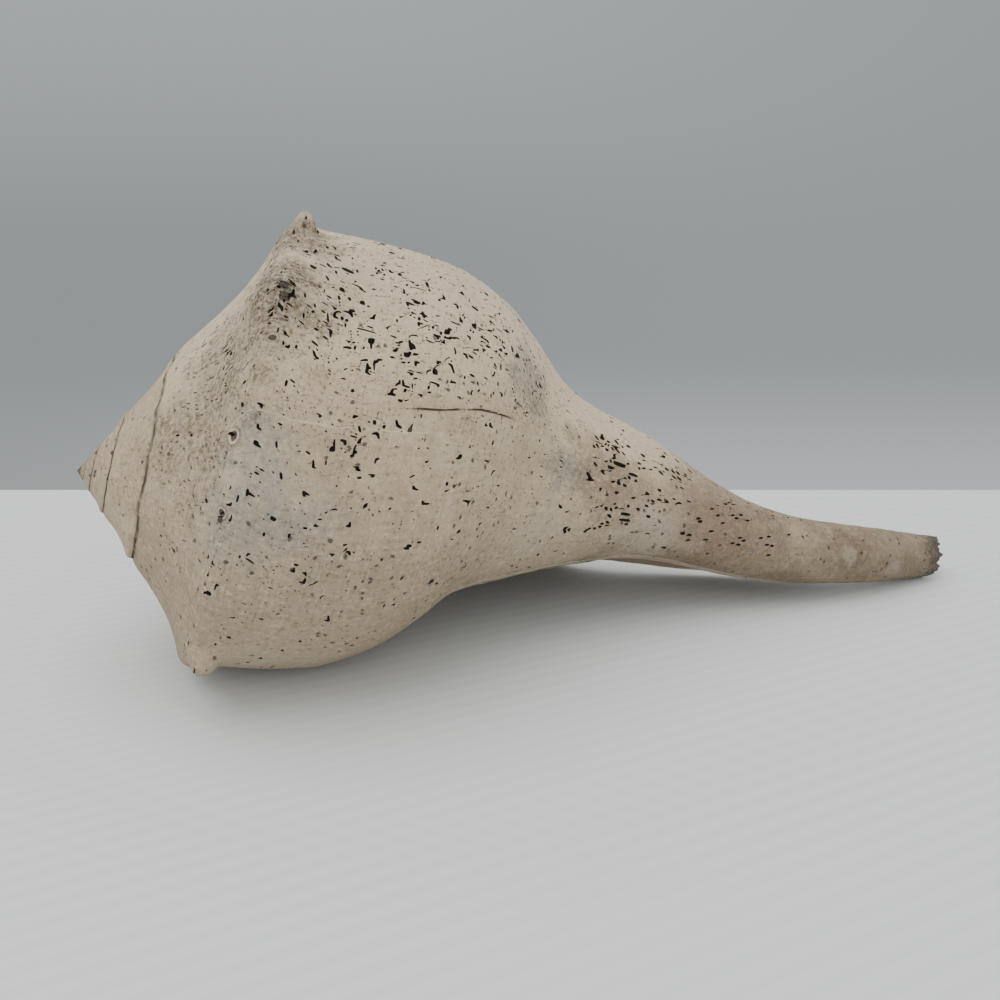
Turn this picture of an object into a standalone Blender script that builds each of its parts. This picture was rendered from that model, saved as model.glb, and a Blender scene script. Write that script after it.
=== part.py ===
"""Lightning whelk shell, lying on its side with its opening turned down.

Units are metres and +Z is up. X runs from the apex of the spire to the broken end of the canal.
The shell is first drawn about its coiling axis, then tipped onto its three resting places: a spine,
the outer lip and the canal. The origin is on the ground, under the middle of the shell.

A place on the outside is given by two numbers. `turn` is the angle in degrees, about the axis, at
which that bit of shell was grown: it ends at LIP_ANGLE, and 360 less is the whorl before. `row` runs
along the profile of a whorl, 0 at the seam with the whorl before, 2 at the shoulder, 12 at the end of
the canal. Seen from the apex the shell grows anticlockwise, so it is left-handed, as this species is.
"""

import math

import bmesh
import bpy
import numpy as np
from mathutils import Matrix, Vector

# Size and coiling
LENGTH = 0.2530  # from the apex to the end of the canal
WHORL_GROWTH = 2.117  # how many times larger each whorl is than the one before
LIP_ANGLE = 207.5  # where the outer lip is: 0 is the front, 90 the top, 180 the back
SPIRE_TURNS = 3.8  # whorls modelled before the last one

# Profile of the last whorl at the lip: distance along the axis, radius, how far that place follows the
# growth of the coil (1 is fully, 0 is not at all), and how far the lip edge leads there, in degrees.
PROFILE = (
    (0.0285, 0.0380, 1.00, -1.5),  # seam with the whorl before
    (0.0412, 0.0580, 1.00, -2.0),  # hollow slope
    (0.0545, 0.0806, 1.00, 0.0),  # shoulder
    (0.0780, 0.0800, 1.00, -6.0),
    (0.1010, 0.0781, 1.00, -5.0),  # body
    (0.1240, 0.0693, 0.99, -2.0),
    (0.1370, 0.0581, 0.97, 1.0),
    (0.1518, 0.0434, 0.95, 4.0),  # body turns into neck
    (0.1850, 0.0274, 0.90, 5.0),
    (0.2080, 0.0166, 0.75, 3.0),  # neck
    (0.2200, 0.0108, 0.32, 1.0),
    (0.2310, 0.0079, 0.00, 0.0),  # canal, closed from here on but for its slit
    (LENGTH, 0.0066, 0.00, 0.0),  # broken end
)
SHOULDER_ROW = 2
SEAM_ROW = 2.25  # the next whorl is seamed on here, just past the shoulder
SPIRE_ROWS = (0.0, 0.8, 1.55, 2.0, SEAM_ROW)
BODY_ROWS = (2.6, 3.0, 3.5, 4.0, 4.5, 5.0, 5.5, 6.0, 6.5, 7.0, 7.5, 8.0, 8.6, 9.2, 9.8, 10.4, 11.0, 12.0)
CANAL_ROW = 11  # from this row on, the whorl's two ends meet in one tube
COLUMN_STEP = 5.0  # degrees between columns
COLUMNS = round(360 / COLUMN_STEP)

# Knobs along the shoulder, every KNOB_STEP back from the lip
FIRST_KNOB = 185.0
KNOB_STEP = 25.0
KNOB_SPREAD = 6.0  # degrees
KNOB_UP = 0.45  # how far a knob runs up the slope, in rows
KNOB_DOWN = 0.42  # how far it runs down the body, in rows
KNOB_RISE = 0.0022  # height of a plain knob at the lip, smaller on smaller whorls
KNOB_HEIGHTS = (  # of the last whorl's knobs, from the lip back
    0.0042, 0.0036, 0.0042, 0.0028, 0.0012, 0.0026, 0.0018, 0.0011, 0.0014, 0.0010, 0.0014,
)
# Spines that still stand on their knobs: angle, row, length, root and tip radius, lean to the canal
SPINES = (
    (85.0, 2.16, 0.0056, 0.0062, 0.0018, 0.0),
    (-40.0, 2.14, 0.0044, 0.0060, 0.0022, -2.0),
    (185.0, 2.1, 0.0075, 0.0070, 0.0024, -4.0),
    (135.0, 2.15, 0.0080, 0.0068, 0.0022, -4.0),
)
SPINE_ROOT = 0.007  # how deep a spine's root reaches into the shell
SPINE_SIDES = 10

# Old lip: where growth once stopped, the shell stands proud and sinks back over the next degrees
OLD_LIP_ANGLE = 40.0
OLD_LIP_RISE = 0.0007
OLD_LIP_FADE = 26.0
OLD_LIP_ROWS = (2.0, 2.5, 6.0, 8.0)  # where it begins, is full, starts to fade and is gone

# Canal: it bends towards the back. The line of the axis sinks at the apex, and rises and sags on the way
BEND_START = 0.196
BEND_BACK = 0.011
SAGS = ((0.0, -0.0024, 0.012), (0.147, 0.0020, 0.018), (0.192, -0.0020, 0.022))  # place, rise, spread

# Chamber
WALL = 0.0034  # thickness of the shell at the lip
CALLUS_IN = 0.0013  # glaze on the inner wall, inside the opening
CALLUS_OUT = 0.0009  # glaze on the inner wall, outside the opening
CALLUS_EDGE = -62.0  # the glaze ends in a ledge at this angle
CHAMBER_PAST_LIP = 10.0  # degrees by which the cutter overshoots the lip
CHAMBER_DEPTH = 430.0  # degrees from the lip to the blind end
CHAMBER_STEP = 12.5
CHAMBER_OUTER_ROWS = (0.55, 1.2, 1.85, 2.4, 3.0, 3.8, 4.6, 5.4, 6.2, 7.0, 7.7, 8.4, 9.0)
CHAMBER_INNER_ROWS = (9.0, 8.0, 7.0, 6.0, 5.0, 4.0, 3.0, 2.3)

# Open gutter of the canal: distance along the axis, radius from the axis, half width
GUTTER_PATH = (
    (0.150, 0.0150, 0.0042),
    (0.175, 0.0115, 0.0040),
    (0.198, 0.0070, 0.0036),
    (0.215, 0.0030, 0.0031),
    (0.232, 0.0010, 0.0028),
    (0.262, 0.0008, 0.0027),
)
GUTTER_ANGLE = 235.0  # side of the axis that the gutter lies on
GUTTER_OPENING = 262.0  # side that it is open to
GUTTER_REACH = 0.022
GUTTER_ARC_STEPS = 8

# Resting pose
TILT = 10.88  # degrees by which the apex is raised
ROLL = -0.93  # degrees by which it is turned about its axis
GROUND_WEAR = 0.0007  # how far it is sunk, to wear flats where it rests
GROUND_BLOCK = 0.02  # thickness of the block that wears them

# The largest borings of sponges and worms, in patches: first turn, last turn, first row, last row and
# how many. LARGE_PITS are the broken tops of knobs: turn, row and radius.
PIT_PATCHES = (
    (46.0, 84.0, 2.2, 4.4, 24),
    (24.0, 60.0, 4.6, 7.4, 10),
    (-30.0, 34.0, 2.2, 4.6, 6),
    (60.0, 150.0, 2.3, 6.5, 12),
)
LARGE_PITS = ((58.0, 1.85, 0.0021), (47.0, 1.95, 0.0017), (43.0, 1.9, 0.0022), (33.5, 1.7, 0.0013))
PIT_RADIUS = (0.0009, 0.0016)
PIT_DEPTH = 0.0013
PIT_DEEPER = 0.5  # share of its radius by which a pit is deeper than that
PIT_TAPER = (0.6, 1.25)  # radii of a pit's floor and of the plug's upper end, in pit radii
PIT_STRETCH = 1.5
PIT_SPACING = 2.6  # least distance between two pits, in the sum of their radii
PIT_SIDES = 5
PIT_SEED = 7

BROKEN_TEETH = ((3.0, 0.0007, 0.4), (7.0, 0.0005, 1.9), (11.0, 0.0004, 0.9))
BROKEN_CORNER = 0.0026  # how far the lower corner of the end is broken back
BROKEN_HOLLOW = 0.0035  # depth of the middle of the broken end
APEX_RISE = 0.0012  # the worn tip of the spire

COLOUR = (0.34, 0.285, 0.22, 1.0)
ROUGHNESS = 0.86
SMOOTH_ANGLE = math.radians(42)


def smooth_curve(values, places):
    """Values of a curve through `values` at whole places, with no overshoot between them."""
    values = np.asarray(values, float)
    steps = np.diff(values)
    slopes = np.zeros_like(values)
    same_way = steps[:-1] * steps[1:] > 0
    inner = np.zeros_like(steps[:-1])
    inner[same_way] = 2 * steps[:-1][same_way] * steps[1:][same_way] / (steps[:-1] + steps[1:])[same_way]
    slopes[1:-1] = inner
    slopes[0], slopes[-1] = steps[0], steps[-1]
    first = np.clip(np.floor(places).astype(int), 0, len(steps) - 1)
    t = np.asarray(places, float) - first
    return (
        values[first] * (1 + 2 * t) * (1 - t) ** 2
        + slopes[first] * t * (1 - t) ** 2
        + values[first + 1] * t * t * (3 - 2 * t)
        + slopes[first + 1] * t * t * (t - 1)
    )


def profile_at(rows):
    """Distance along, radius, follow and lead of the profile at these rows, with a corner at the shoulder."""
    rows = np.asarray(rows, float)
    table = np.array(PROFILE)
    result = np.empty((4, len(rows)))
    above = rows < SHOULDER_ROW
    for index in range(4):
        column = table[:, index]
        result[index, above] = smooth_curve(column[: SHOULDER_ROW + 1], rows[above])
        result[index, ~above] = smooth_curve(column[SHOULDER_ROW:], rows[~above] - SHOULDER_ROW)
    return result


def knob_rise(turn, rows):
    """How far the knobs lift the surface along one column."""
    size = WHORL_GROWTH ** ((turn - LIP_ANGLE) / 360)
    nearest = round((FIRST_KNOB - turn) / KNOB_STEP)
    spread = np.where(rows < SHOULDER_ROW, KNOB_UP, KNOB_DOWN)
    across = np.exp(-(((rows - SHOULDER_ROW) / spread) ** 2))
    total = np.zeros(len(rows))
    for index in range(max(nearest - 1, 0), max(nearest, 0) + 2):
        angle = FIRST_KNOB - index * KNOB_STEP
        height = KNOB_HEIGHTS[index] if index < len(KNOB_HEIGHTS) else KNOB_RISE * size
        total += height * math.exp(-(((turn - angle) / KNOB_SPREAD) ** 2)) * across
    return total


def growth_rise(turn, rows):
    """Step left by the old lip, on the body only."""
    since = OLD_LIP_ANGLE - turn
    rise = OLD_LIP_RISE * math.exp(-since / OLD_LIP_FADE) if since >= 0 else 0.0
    return rise * np.interp(rows, OLD_LIP_ROWS, (0, 1, 1, 0))


def callus_rise(turn, rows):
    """Thickness of the glaze on the inner wall, between the lip and the ledge where it ends."""
    covered = turn < CALLUS_EDGE and turn >= LIP_ANGLE - 360
    return np.where((rows > SEAM_ROW) & (rows < CANAL_ROW), CALLUS_OUT if covered else 0.0, 0.0)


def section(turn, rows, rise=0.0):
    """Distance along, radius and angle of the profile at one turn, moved outwards by `rise`."""
    rows = np.asarray(rows, float)
    along, radius, follow, lead = profile_at(rows)
    nudge = 0.01
    ahead = profile_at(np.clip(rows + nudge, 0, len(PROFILE) - 1))
    behind = profile_at(np.clip(rows - nudge, 0, len(PROFILE) - 1))
    size = WHORL_GROWTH ** ((turn - LIP_ANGLE) / 360)
    along, radius = along * size**follow, radius * size**follow
    run = ahead[0] * size ** ahead[2] - behind[0] * size ** behind[2]
    climb = ahead[1] * size ** ahead[2] - behind[1] * size ** behind[2]
    norm = np.hypot(run, climb)
    return along - rise * climb / norm, radius + rise * run / norm, turn + lead


def place(along, radius, angle):
    """Point of the shell's own frame, with the canal's bend and sag."""
    angle = np.radians(angle)
    past = np.clip((along - BEND_START) / (LENGTH - BEND_START), 0, None)
    rise = sum(height * np.exp(-(((along - middle) / spread) ** 2)) for middle, height, spread in SAGS)
    back = BEND_BACK * past**2 - radius * np.cos(angle)
    up = radius * np.sin(angle) + rise
    return np.stack([along, back, up], axis=-1)


def broken_end(point, angle):
    """Moves a point of the canal's last ring back to a ragged break, most on its lower side."""
    angle = math.radians(angle)
    back = sum(depth * (1 + math.sin(waves * angle + phase)) for waves, depth, phase in BROKEN_TEETH)
    back += BROKEN_CORNER * max(-math.sin(angle), 0) ** 2
    return point - np.array([back, 0, 0])


def add_face(mesh, *corners):
    """Adds a face, leaving out corners that are the same vertex."""
    kept = [vert for index, vert in enumerate(corners) if vert is not corners[index - 1]]
    if len(kept) > 2:
        mesh.faces.new(kept)


def outer_form():
    """Closed solid of the whole outside, with the mouth closed by a flat face."""
    mesh = bmesh.new()
    spire_rows = np.array(SPIRE_ROWS)
    all_rows = np.array(SPIRE_ROWS + BODY_ROWS)
    seam = len(spire_rows) - 1
    last = len(all_rows) - 1
    tube = int(np.searchsorted(all_rows, CANAL_ROW))
    first_column = -round(SPIRE_TURNS * COLUMNS)

    grid = {}
    for column in range(first_column, COLUMNS + 1):
        turn = LIP_ANGLE - 360 + column * COLUMN_STEP
        rows = spire_rows if column < 0 else all_rows
        rise = knob_rise(turn, rows) + growth_rise(turn, rows) + callus_rise(turn, rows)
        points = place(*section(turn, rows, rise))
        if column >= 0:
            points[last] = broken_end(points[last], turn)
        for index, point in enumerate(points):
            if index == 0 and column >= first_column + COLUMNS:
                grid[column, 0] = grid[column - COLUMNS, seam]
            elif index >= tube and column == COLUMNS:
                grid[column, index] = grid[0, index]
            else:
                grid[column, index] = mesh.verts.new(point)

    for column in range(first_column, COLUMNS):
        for index in range(seam if column < 0 else last):
            add_face(
                mesh,
                grid[column, index],
                grid[column, index + 1],
                grid[column + 1, index + 1],
                grid[column + 1, index],
            )

    # Mouth: between the lip and the same rows one whorl before
    for index in range(1, seam):
        add_face(mesh, grid[COLUMNS, 0], grid[COLUMNS, index], grid[COLUMNS, index + 1])
    for index in range(seam, tube):
        add_face(
            mesh,
            grid[COLUMNS, index],
            grid[COLUMNS, index + 1],
            grid[0, index + 1],
            grid[0, index],
        )

    end = mesh.verts.new(place(LENGTH - BROKEN_HOLLOW, 0.0, 0.0))
    for column in range(COLUMNS):
        add_face(mesh, grid[column, last], end, grid[column + 1, last])

    first_turn = range(first_column, first_column + COLUMNS)
    middle = sum((grid[column, 0].co for column in first_turn), Vector()) / COLUMNS
    apex = mesh.verts.new(middle - Vector((APEX_RISE, 0, 0)))
    for column in first_turn:
        add_face(mesh, grid[column, 0], grid[column + 1, 0], apex)
    for index in range(seam):
        add_face(mesh, grid[first_column, index + 1], grid[first_column, index], apex)
    bmesh.ops.recalc_face_normals(mesh, faces=mesh.faces)
    return mesh


def loft(rings):
    """Closed tube through rings that have the same number of points."""
    mesh = bmesh.new()
    loops = [[mesh.verts.new(point) for point in ring] for ring in rings]
    for near, far in zip(loops, loops[1:]):
        for index in range(len(near)):
            mesh.faces.new((near[index - 1], near[index], far[index], far[index - 1]))
    for loop in (loops[0], loops[-1]):
        bmesh.ops.triangulate(mesh, faces=[mesh.faces.new(loop)])
    bmesh.ops.recalc_face_normals(mesh, faces=mesh.faces)
    return mesh


def chamber_form():
    """The hollow, from just past the lip back to a blind end more than a turn inside."""
    rings = []
    for turn in np.arange(
        LIP_ANGLE + CHAMBER_PAST_LIP, LIP_ANGLE - CHAMBER_DEPTH - 1, -CHAMBER_STEP
    ):
        size = WHORL_GROWTH ** ((turn - LIP_ANGLE) / 360)
        outer = section(turn, CHAMBER_OUTER_ROWS, -WALL * size**0.6)
        inner = section(turn - 360, CHAMBER_INNER_ROWS, CALLUS_IN)
        inner = (inner[0], inner[1], inner[2] + 360)
        rings.append(np.concatenate([place(*outer), place(*inner)]))
    return loft(rings)


def gutter_form():
    """The open channel of the canal: a U that is open downwards and runs out through the end."""
    rings = []
    side = math.radians(GUTTER_OPENING)
    opening = Vector((0, -math.cos(side), math.sin(side)))
    across = Vector((0, -opening.z, opening.y))
    for along, radius, half_width in GUTTER_PATH:
        middle = Vector(place(along, radius, GUTTER_ANGLE))
        ring = []
        for step in range(GUTTER_ARC_STEPS + 1):
            angle = math.pi * step / GUTTER_ARC_STEPS
            ring.append(middle + half_width * (math.cos(angle) * across - math.sin(angle) * opening))
        ring.append(ring[-1] + opening * GUTTER_REACH)
        ring.append(ring[0] + opening * GUTTER_REACH)
        rings.append(ring)
    return loft(rings)


def spine_form(angle, row, length, root_radius, tip_radius, lean):
    """One blunt tapering spine, rooted in its knob."""
    foot = Vector(place(*section(angle, [row]))[0])
    mesh = bmesh.new()
    depth = SPINE_ROOT + length
    bmesh.ops.create_cone(
        mesh,
        cap_ends=True,
        segments=SPINE_SIDES,
        radius1=root_radius,
        radius2=tip_radius,
        depth=depth,
        matrix=Matrix.Translation((0, 0, depth / 2 - SPINE_ROOT)),
    )
    turn = Matrix.Rotation(math.radians(90 - angle), 4, "X")
    tip = Matrix.Rotation(math.radians(lean), 4, "Y")
    mesh.transform(Matrix.Translation(foot) @ turn @ tip)
    return mesh


def pit_form():
    """All the large borings, as small tapering plugs that are sunk into the surface."""
    chance = np.random.default_rng(PIT_SEED)
    pits = list(LARGE_PITS)
    for first_turn, last_turn, first_row, last_row, count in PIT_PATCHES:
        for _ in range(count):
            pit = (chance.uniform(first_turn, last_turn), chance.uniform(first_row, last_row))
            pits.append((*pit, chance.uniform(*PIT_RADIUS)))
    mesh = bmesh.new()
    kept = []
    for turn, row, radius in pits:
        spot, under = (Vector(place(*section(turn, [row], rise))[0]) for rise in (0.0, -PIT_DEPTH))
        if any((spot - other).length < PIT_SPACING * (radius + size) for other, size in kept):
            continue
        kept.append((spot, radius))
        depth = PIT_DEPTH + PIT_DEEPER * radius
        inwards = (under - spot).to_track_quat("-Z", "X").to_matrix().to_4x4()
        spin = Matrix.Rotation(chance.uniform(0, math.tau), 4, "Z")
        bmesh.ops.create_cone(
            mesh,
            cap_ends=True,
            segments=PIT_SIDES,
            radius1=PIT_TAPER[0] * radius,
            radius2=PIT_TAPER[1] * radius,
            depth=2 * depth,
            matrix=Matrix.Translation(spot) @ inwards @ spin @ Matrix.Diagonal((PIT_STRETCH, 1, 1, 1)),
        )
    bmesh.ops.recalc_face_normals(mesh, faces=mesh.faces)
    return mesh


def ground_form():
    """Block under the ground, which takes off what reaches below it."""
    mesh = bmesh.new()
    bmesh.ops.create_cube(mesh, size=1, matrix=Matrix.Diagonal((2 * LENGTH, 2 * LENGTH, GROUND_BLOCK, 1)))
    mesh.transform(Matrix.Translation((0, 0, -GROUND_BLOCK / 2)))
    return mesh


def add_object(name, mesh, collection):
    """Makes an object of a bmesh, in this collection."""
    data = bpy.data.meshes.new(name)
    mesh.to_mesh(data)
    mesh.free()
    data.shade_smooth()
    data.set_sharp_from_angle(angle=SMOOTH_ANGLE)
    made = bpy.data.objects.new(name, data)
    collection.objects.link(made)
    return made


def add_boolean(target, name, helper, operation):
    """Joins the helper to the target, or cuts it away."""
    modifier = target.modifiers.new(name, "BOOLEAN")
    modifier.operation = operation
    modifier.solver = "EXACT"
    modifier.object = helper
    helper.hide_render = True
    helper.display_type = "WIRE"


def shell_material():
    """Bleached chalky shell."""
    material = bpy.data.materials.new("bleached_shell")
    material.use_nodes = True
    shader = material.node_tree.nodes["Principled BSDF"]
    shader.inputs["Base Color"].default_value = COLOUR
    shader.inputs["Roughness"].default_value = ROUGHNESS
    return material


def main():
    for old in list(bpy.data.objects):
        bpy.data.objects.remove(old, do_unlink=True)
    scene = bpy.context.scene
    parts = bpy.data.collections.new("lightning_whelk_shell")
    helpers = bpy.data.collections.new("helpers")
    scene.collection.children.link(parts)
    scene.collection.children.link(helpers)

    pose = Matrix.Rotation(math.radians(TILT), 4, "Y") @ Matrix.Rotation(math.radians(ROLL), 4, "X")
    outer = outer_form()
    spines = [spine_form(*spine) for spine in SPINES]
    reach = np.array([pose @ vert.co for mesh in (outer, *spines) for vert in mesh.verts])
    middle = (reach.min(axis=0) + reach.max(axis=0)) / 2
    lowest = min((pose @ vert.co).z for vert in outer.verts)
    settled = Matrix.Translation((-middle[0], -middle[1], -lowest - GROUND_WEAR)) @ pose

    outer.transform(settled)
    shell = add_object("whelk_shell", outer, parts)
    shell.data.materials.append(shell_material())
    for index, mesh in enumerate(spines):
        mesh.transform(settled)
        add_boolean(shell, f"spine_{index}", add_object(f"spine_{index}", mesh, helpers), "UNION")
    for name, mesh in (("chamber", chamber_form()), ("gutter", gutter_form()), ("pits", pit_form())):
        mesh.transform(settled)
        add_boolean(shell, name, add_object(name, mesh, helpers), "DIFFERENCE")
    add_boolean(shell, "ground", add_object("ground", ground_form(), helpers), "DIFFERENCE")


main()
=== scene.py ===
"""Looks of a lightning whelk shell, bleached and bored, lying with its mouth down on a pale table.

Units are metres and +Z is up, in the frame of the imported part. A place on the shell is given by its
`turn`, the angle in degrees about the coiling axis at which it grew, and its `row`, which runs from 0
at the seam with the whorl before, over 2 at the shoulder, to 12 at the broken end of the canal.
"""

import logging
import math
from collections.abc import Callable, Iterable
from dataclasses import dataclass, field
from enum import Enum

import bmesh
import bpy
import numpy as np
from mathutils import Matrix, Vector


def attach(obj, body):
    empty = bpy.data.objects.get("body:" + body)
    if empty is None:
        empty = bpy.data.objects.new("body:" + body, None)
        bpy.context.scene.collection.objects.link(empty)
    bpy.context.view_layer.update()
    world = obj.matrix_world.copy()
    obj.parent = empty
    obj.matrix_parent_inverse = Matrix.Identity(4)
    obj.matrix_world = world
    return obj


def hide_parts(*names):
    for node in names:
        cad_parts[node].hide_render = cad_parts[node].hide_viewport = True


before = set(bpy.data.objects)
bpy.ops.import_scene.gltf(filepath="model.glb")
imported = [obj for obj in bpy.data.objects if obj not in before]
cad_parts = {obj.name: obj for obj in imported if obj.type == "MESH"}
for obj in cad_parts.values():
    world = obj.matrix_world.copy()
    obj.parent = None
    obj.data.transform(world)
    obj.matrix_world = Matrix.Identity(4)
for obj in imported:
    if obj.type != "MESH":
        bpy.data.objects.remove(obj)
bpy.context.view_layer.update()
NODE = "whelk_shell"
SLOT = "weathered_shell"
MAP = "coil"
log = logging.getLogger("whelk")

Place = tuple[float, float]
Key = tuple[float, float]
Vector3 = tuple[float, float, float]
Colour = tuple[float, float, float]  # red, green and blue from 0 to 255
Inputs = dict[str | int, object]

# Keys of the middles of the canal's broken end, the tip of the spire and the mouth.
END, TIP, MOUTH = (-1, -1), (-2, -2), (-3, -3)


# Node trees


class Signal:
    """An output in a node tree. Sums on it, which are set on the class below, add Math nodes to the tree."""

    def __init__(self, tree: "Tree", socket: bpy.types.NodeSocket) -> None:
        """Keeps the tree and the socket."""
        self.tree = tree
        self.socket = socket

    def __abs__(self) -> "Signal":
        """The size of its value."""
        return self.tree.math("ABSOLUTE", self)


def sum_of(operation: str, swapped: bool) -> Callable[[Signal, "Signal | float"], Signal]:
    """A method that adds a Math node, with the signal as its second value if `swapped`."""

    def method(self: Signal, other: "Signal | float") -> Signal:
        """The result of the Math node."""
        return self.tree.math(operation, *((other, self) if swapped else (self, other)))

    return method


SUMS = {"add": "ADD", "sub": "SUBTRACT", "mul": "MULTIPLY", "truediv": "DIVIDE", "pow": "POWER"}
for word, operation in SUMS.items():
    setattr(Signal, f"__{word}__", sum_of(operation, False))
    setattr(Signal, f"__r{word}__", sum_of(operation, True))


class Tree:
    """A node tree while it is built."""

    def __init__(self, tree: bpy.types.NodeTree) -> None:
        """Keeps the tree that nodes are added to."""
        self.tree = tree

    def finish(self, value: Signal) -> bpy.types.NodeTree:
        """Gives the group its output, and returns the group."""
        self.feed(self.tree.nodes.new("NodeGroupOutput").inputs[0], value)
        return self.tree

    def feed(self, socket: bpy.types.NodeSocket, value: object) -> None:
        """Links a signal to a socket, or sets a plain value on it."""
        if isinstance(value, Signal):
            self.tree.links.new(value.socket, socket)
        else:
            socket.default_value = value

    def node(self, kind: str, inputs: Inputs | None = None, **settings: object) -> bpy.types.Node:
        """Adds a node.

        Args:
            kind: the node's type name.
            inputs: signals or values by the name or number of the node's inputs.
            settings: the node's own settings.

        Returns:
            The node.
        """
        made = self.tree.nodes.new(kind)
        for name, value in settings.items():
            setattr(made, name, value)
        for name, value in (inputs or {}).items():
            self.feed(made.inputs[name], value)
        return made

    def get(
        self, kind: str, inputs: Inputs | None = None, output: str | int = 0, **settings: object
    ) -> Signal:
        """As node(), but gives the node's output of this name or number as a signal."""
        return Signal(self, self.node(kind, inputs, **settings).outputs[output])

    def math(self, operation: str, *values: "Signal | float") -> Signal:
        """Result of a Math node on these values."""
        return self.get("ShaderNodeMath", dict(enumerate(values)), operation=operation)

    def most(self, *values: "Signal | float") -> Signal:
        """The largest of the values."""
        largest = values[0]
        for value in values[1:]:
            largest = self.math("MAXIMUM", largest, value)
        return largest

    def vector(self, operation: str, *values: object, output: str | int = 0) -> Signal:
        """Result of a Vector Math node on these values."""
        return self.get("ShaderNodeVectorMath", dict(enumerate(values)), output, operation=operation)

    def scaled(self, vector: Signal, factor: "Signal | float") -> Signal:
        """The vector times the factor."""
        return self.get("ShaderNodeVectorMath", {0: vector, "Scale": factor}, operation="SCALE")

    def combine(self, x: object, y: object, z: object) -> Signal:
        """A vector of three signals or numbers."""
        return self.get("ShaderNodeCombineXYZ", {0: x, 1: y, 2: z})

    def split(self, vector: Signal) -> list[Signal]:
        """The three numbers of a vector."""
        return [Signal(self, part) for part in self.node("ShaderNodeSeparateXYZ", {0: vector}).outputs]

    def stored(self, name: str, kind: str = "FLOAT") -> Signal:
        """A named attribute, in Geometry Nodes."""
        return self.get("GeometryNodeInputNamedAttribute", {"Name": name}, "Attribute", data_type=kind)

    def change(self, kind: str, geometry: Signal, **inputs: object) -> Signal:
        """The geometry as one of the nodes for geometry changes it."""
        return self.get("GeometryNode" + kind, {"Geometry": geometry} | inputs)

    def ramp(self, value: Signal, low: float, high: float, start: float = 0.0, end: float = 1.0) -> Signal:
        """Smooth step from `start` to `end` as the value goes from `low` to `high`."""
        span = {"From Min": low, "From Max": high, "To Min": start, "To Max": end}
        return self.get("ShaderNodeMapRange", {"Value": value} | span, interpolation_type="SMOOTHSTEP")

    def line(self, away: Signal, outer: float, inner: float) -> Signal:
        """1 within `inner` of where `away` is 0, and 0 beyond `outer`."""
        return self.ramp(abs(away), outer, inner)

    def stripes(self, value: Signal, outer: float, inner: float) -> Signal:
        """A line at every whole value."""
        return self.ramp(self.math("PINGPONG", value, 0.5), outer, inner)

    def mix(self, factor: "Signal | float", first: object, second: object) -> Signal:
        """Colour between two colours."""
        return self.get("ShaderNodeMix", {0: factor, 6: first, 7: second}, 2, data_type="RGBA")

    def noise(self, vector: Signal, scale: float, detail: float = 3.0, roughness: float = 0.55) -> Signal:
        """Noise from 0 to 1 over the vector."""
        inputs = {"Vector": vector, "Scale": scale, "Detail": detail, "Roughness": roughness}
        return self.get("ShaderNodeTexNoise", inputs)


FLOAT_SOCKET, SHAPE_SOCKET, MATERIAL_SOCKET = "NodeSocketFloat", "NodeSocketGeometry", "NodeSocketMaterial"
SOCKETS = {float: FLOAT_SOCKET, int: "NodeSocketInt", tuple: "NodeSocketVector"}


def new_group(
    name: str, inputs: dict[str, object], output: str = "Geometry"
) -> tuple[Tree, dict[str, Signal]]:
    """Starts a node group: Geometry Nodes if its output is the geometry, or else a shader group.

    Args:
        name: the group's name.
        inputs: default value by input name, or a socket type's name where there is no default.
        output: the output's name.

    Returns:
        The tree and its inputs by name.
    """
    shading = output != "Geometry"
    group = bpy.data.node_groups.new(name, "ShaderNodeTree" if shading else "GeometryNodeTree")
    inputs = ({} if shading else {"Geometry": SHAPE_SOCKET}) | inputs
    for label, value in inputs.items():
        known = isinstance(value, str)
        kind = value if known else SOCKETS[type(value)]
        socket = group.interface.new_socket(label, in_out="INPUT", socket_type=kind)
        if not known:
            socket.default_value = value
    group.interface.new_socket(output, in_out="OUTPUT", socket_type=FLOAT_SOCKET if shading else SHAPE_SOCKET)
    tree, start = Tree(group), group.nodes.new("NodeGroupInput")
    return tree, {label: Signal(tree, start.outputs[label]) for label in inputs}


def new_object(mesh: bpy.types.Mesh) -> bpy.types.Object:
    """Puts a mesh into the scene, as an object of the same name."""
    made = bpy.data.objects.new(mesh.name, mesh)
    bpy.context.scene.collection.objects.link(made)
    return made


def discard(*objects: bpy.types.Object) -> None:
    """Removes objects that were only steps on the way."""
    for old in objects:
        bpy.data.objects.remove(old, do_unlink=True)


def evaluated_mesh(source: bpy.types.Object, name: str) -> bpy.types.Mesh:
    """The object's mesh with its modifiers applied, as a new mesh of this name."""
    graph = bpy.context.evaluated_depsgraph_get()
    mesh = bpy.data.meshes.new_from_object(
        source.evaluated_get(graph), preserve_all_data_layers=True, depsgraph=graph
    )
    mesh.name = name
    return mesh


def run_tree(mesh: bpy.types.Mesh, tree: bpy.types.NodeTree, values: dict[str, object]) -> bpy.types.Mesh:
    """Runs a Geometry Nodes tree on a mesh.

    Args:
        mesh: what goes in. It is removed.
        tree: the tree.
        values: the tree's inputs by name.

    Returns:
        The plain mesh that comes out.
    """
    source = new_object(mesh)
    modifier = source.modifiers.new(tree.name, "NODES")
    modifier.node_group = tree
    for item in tree.interface.items_tree:
        if item.item_type == "SOCKET" and item.in_out == "INPUT" and item.name in values:
            modifier[item.identifier] = values[item.name]
    made = evaluated_mesh(source, mesh.name + "_grown")
    discard(source)
    bpy.data.meshes.remove(mesh)
    return made


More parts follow.
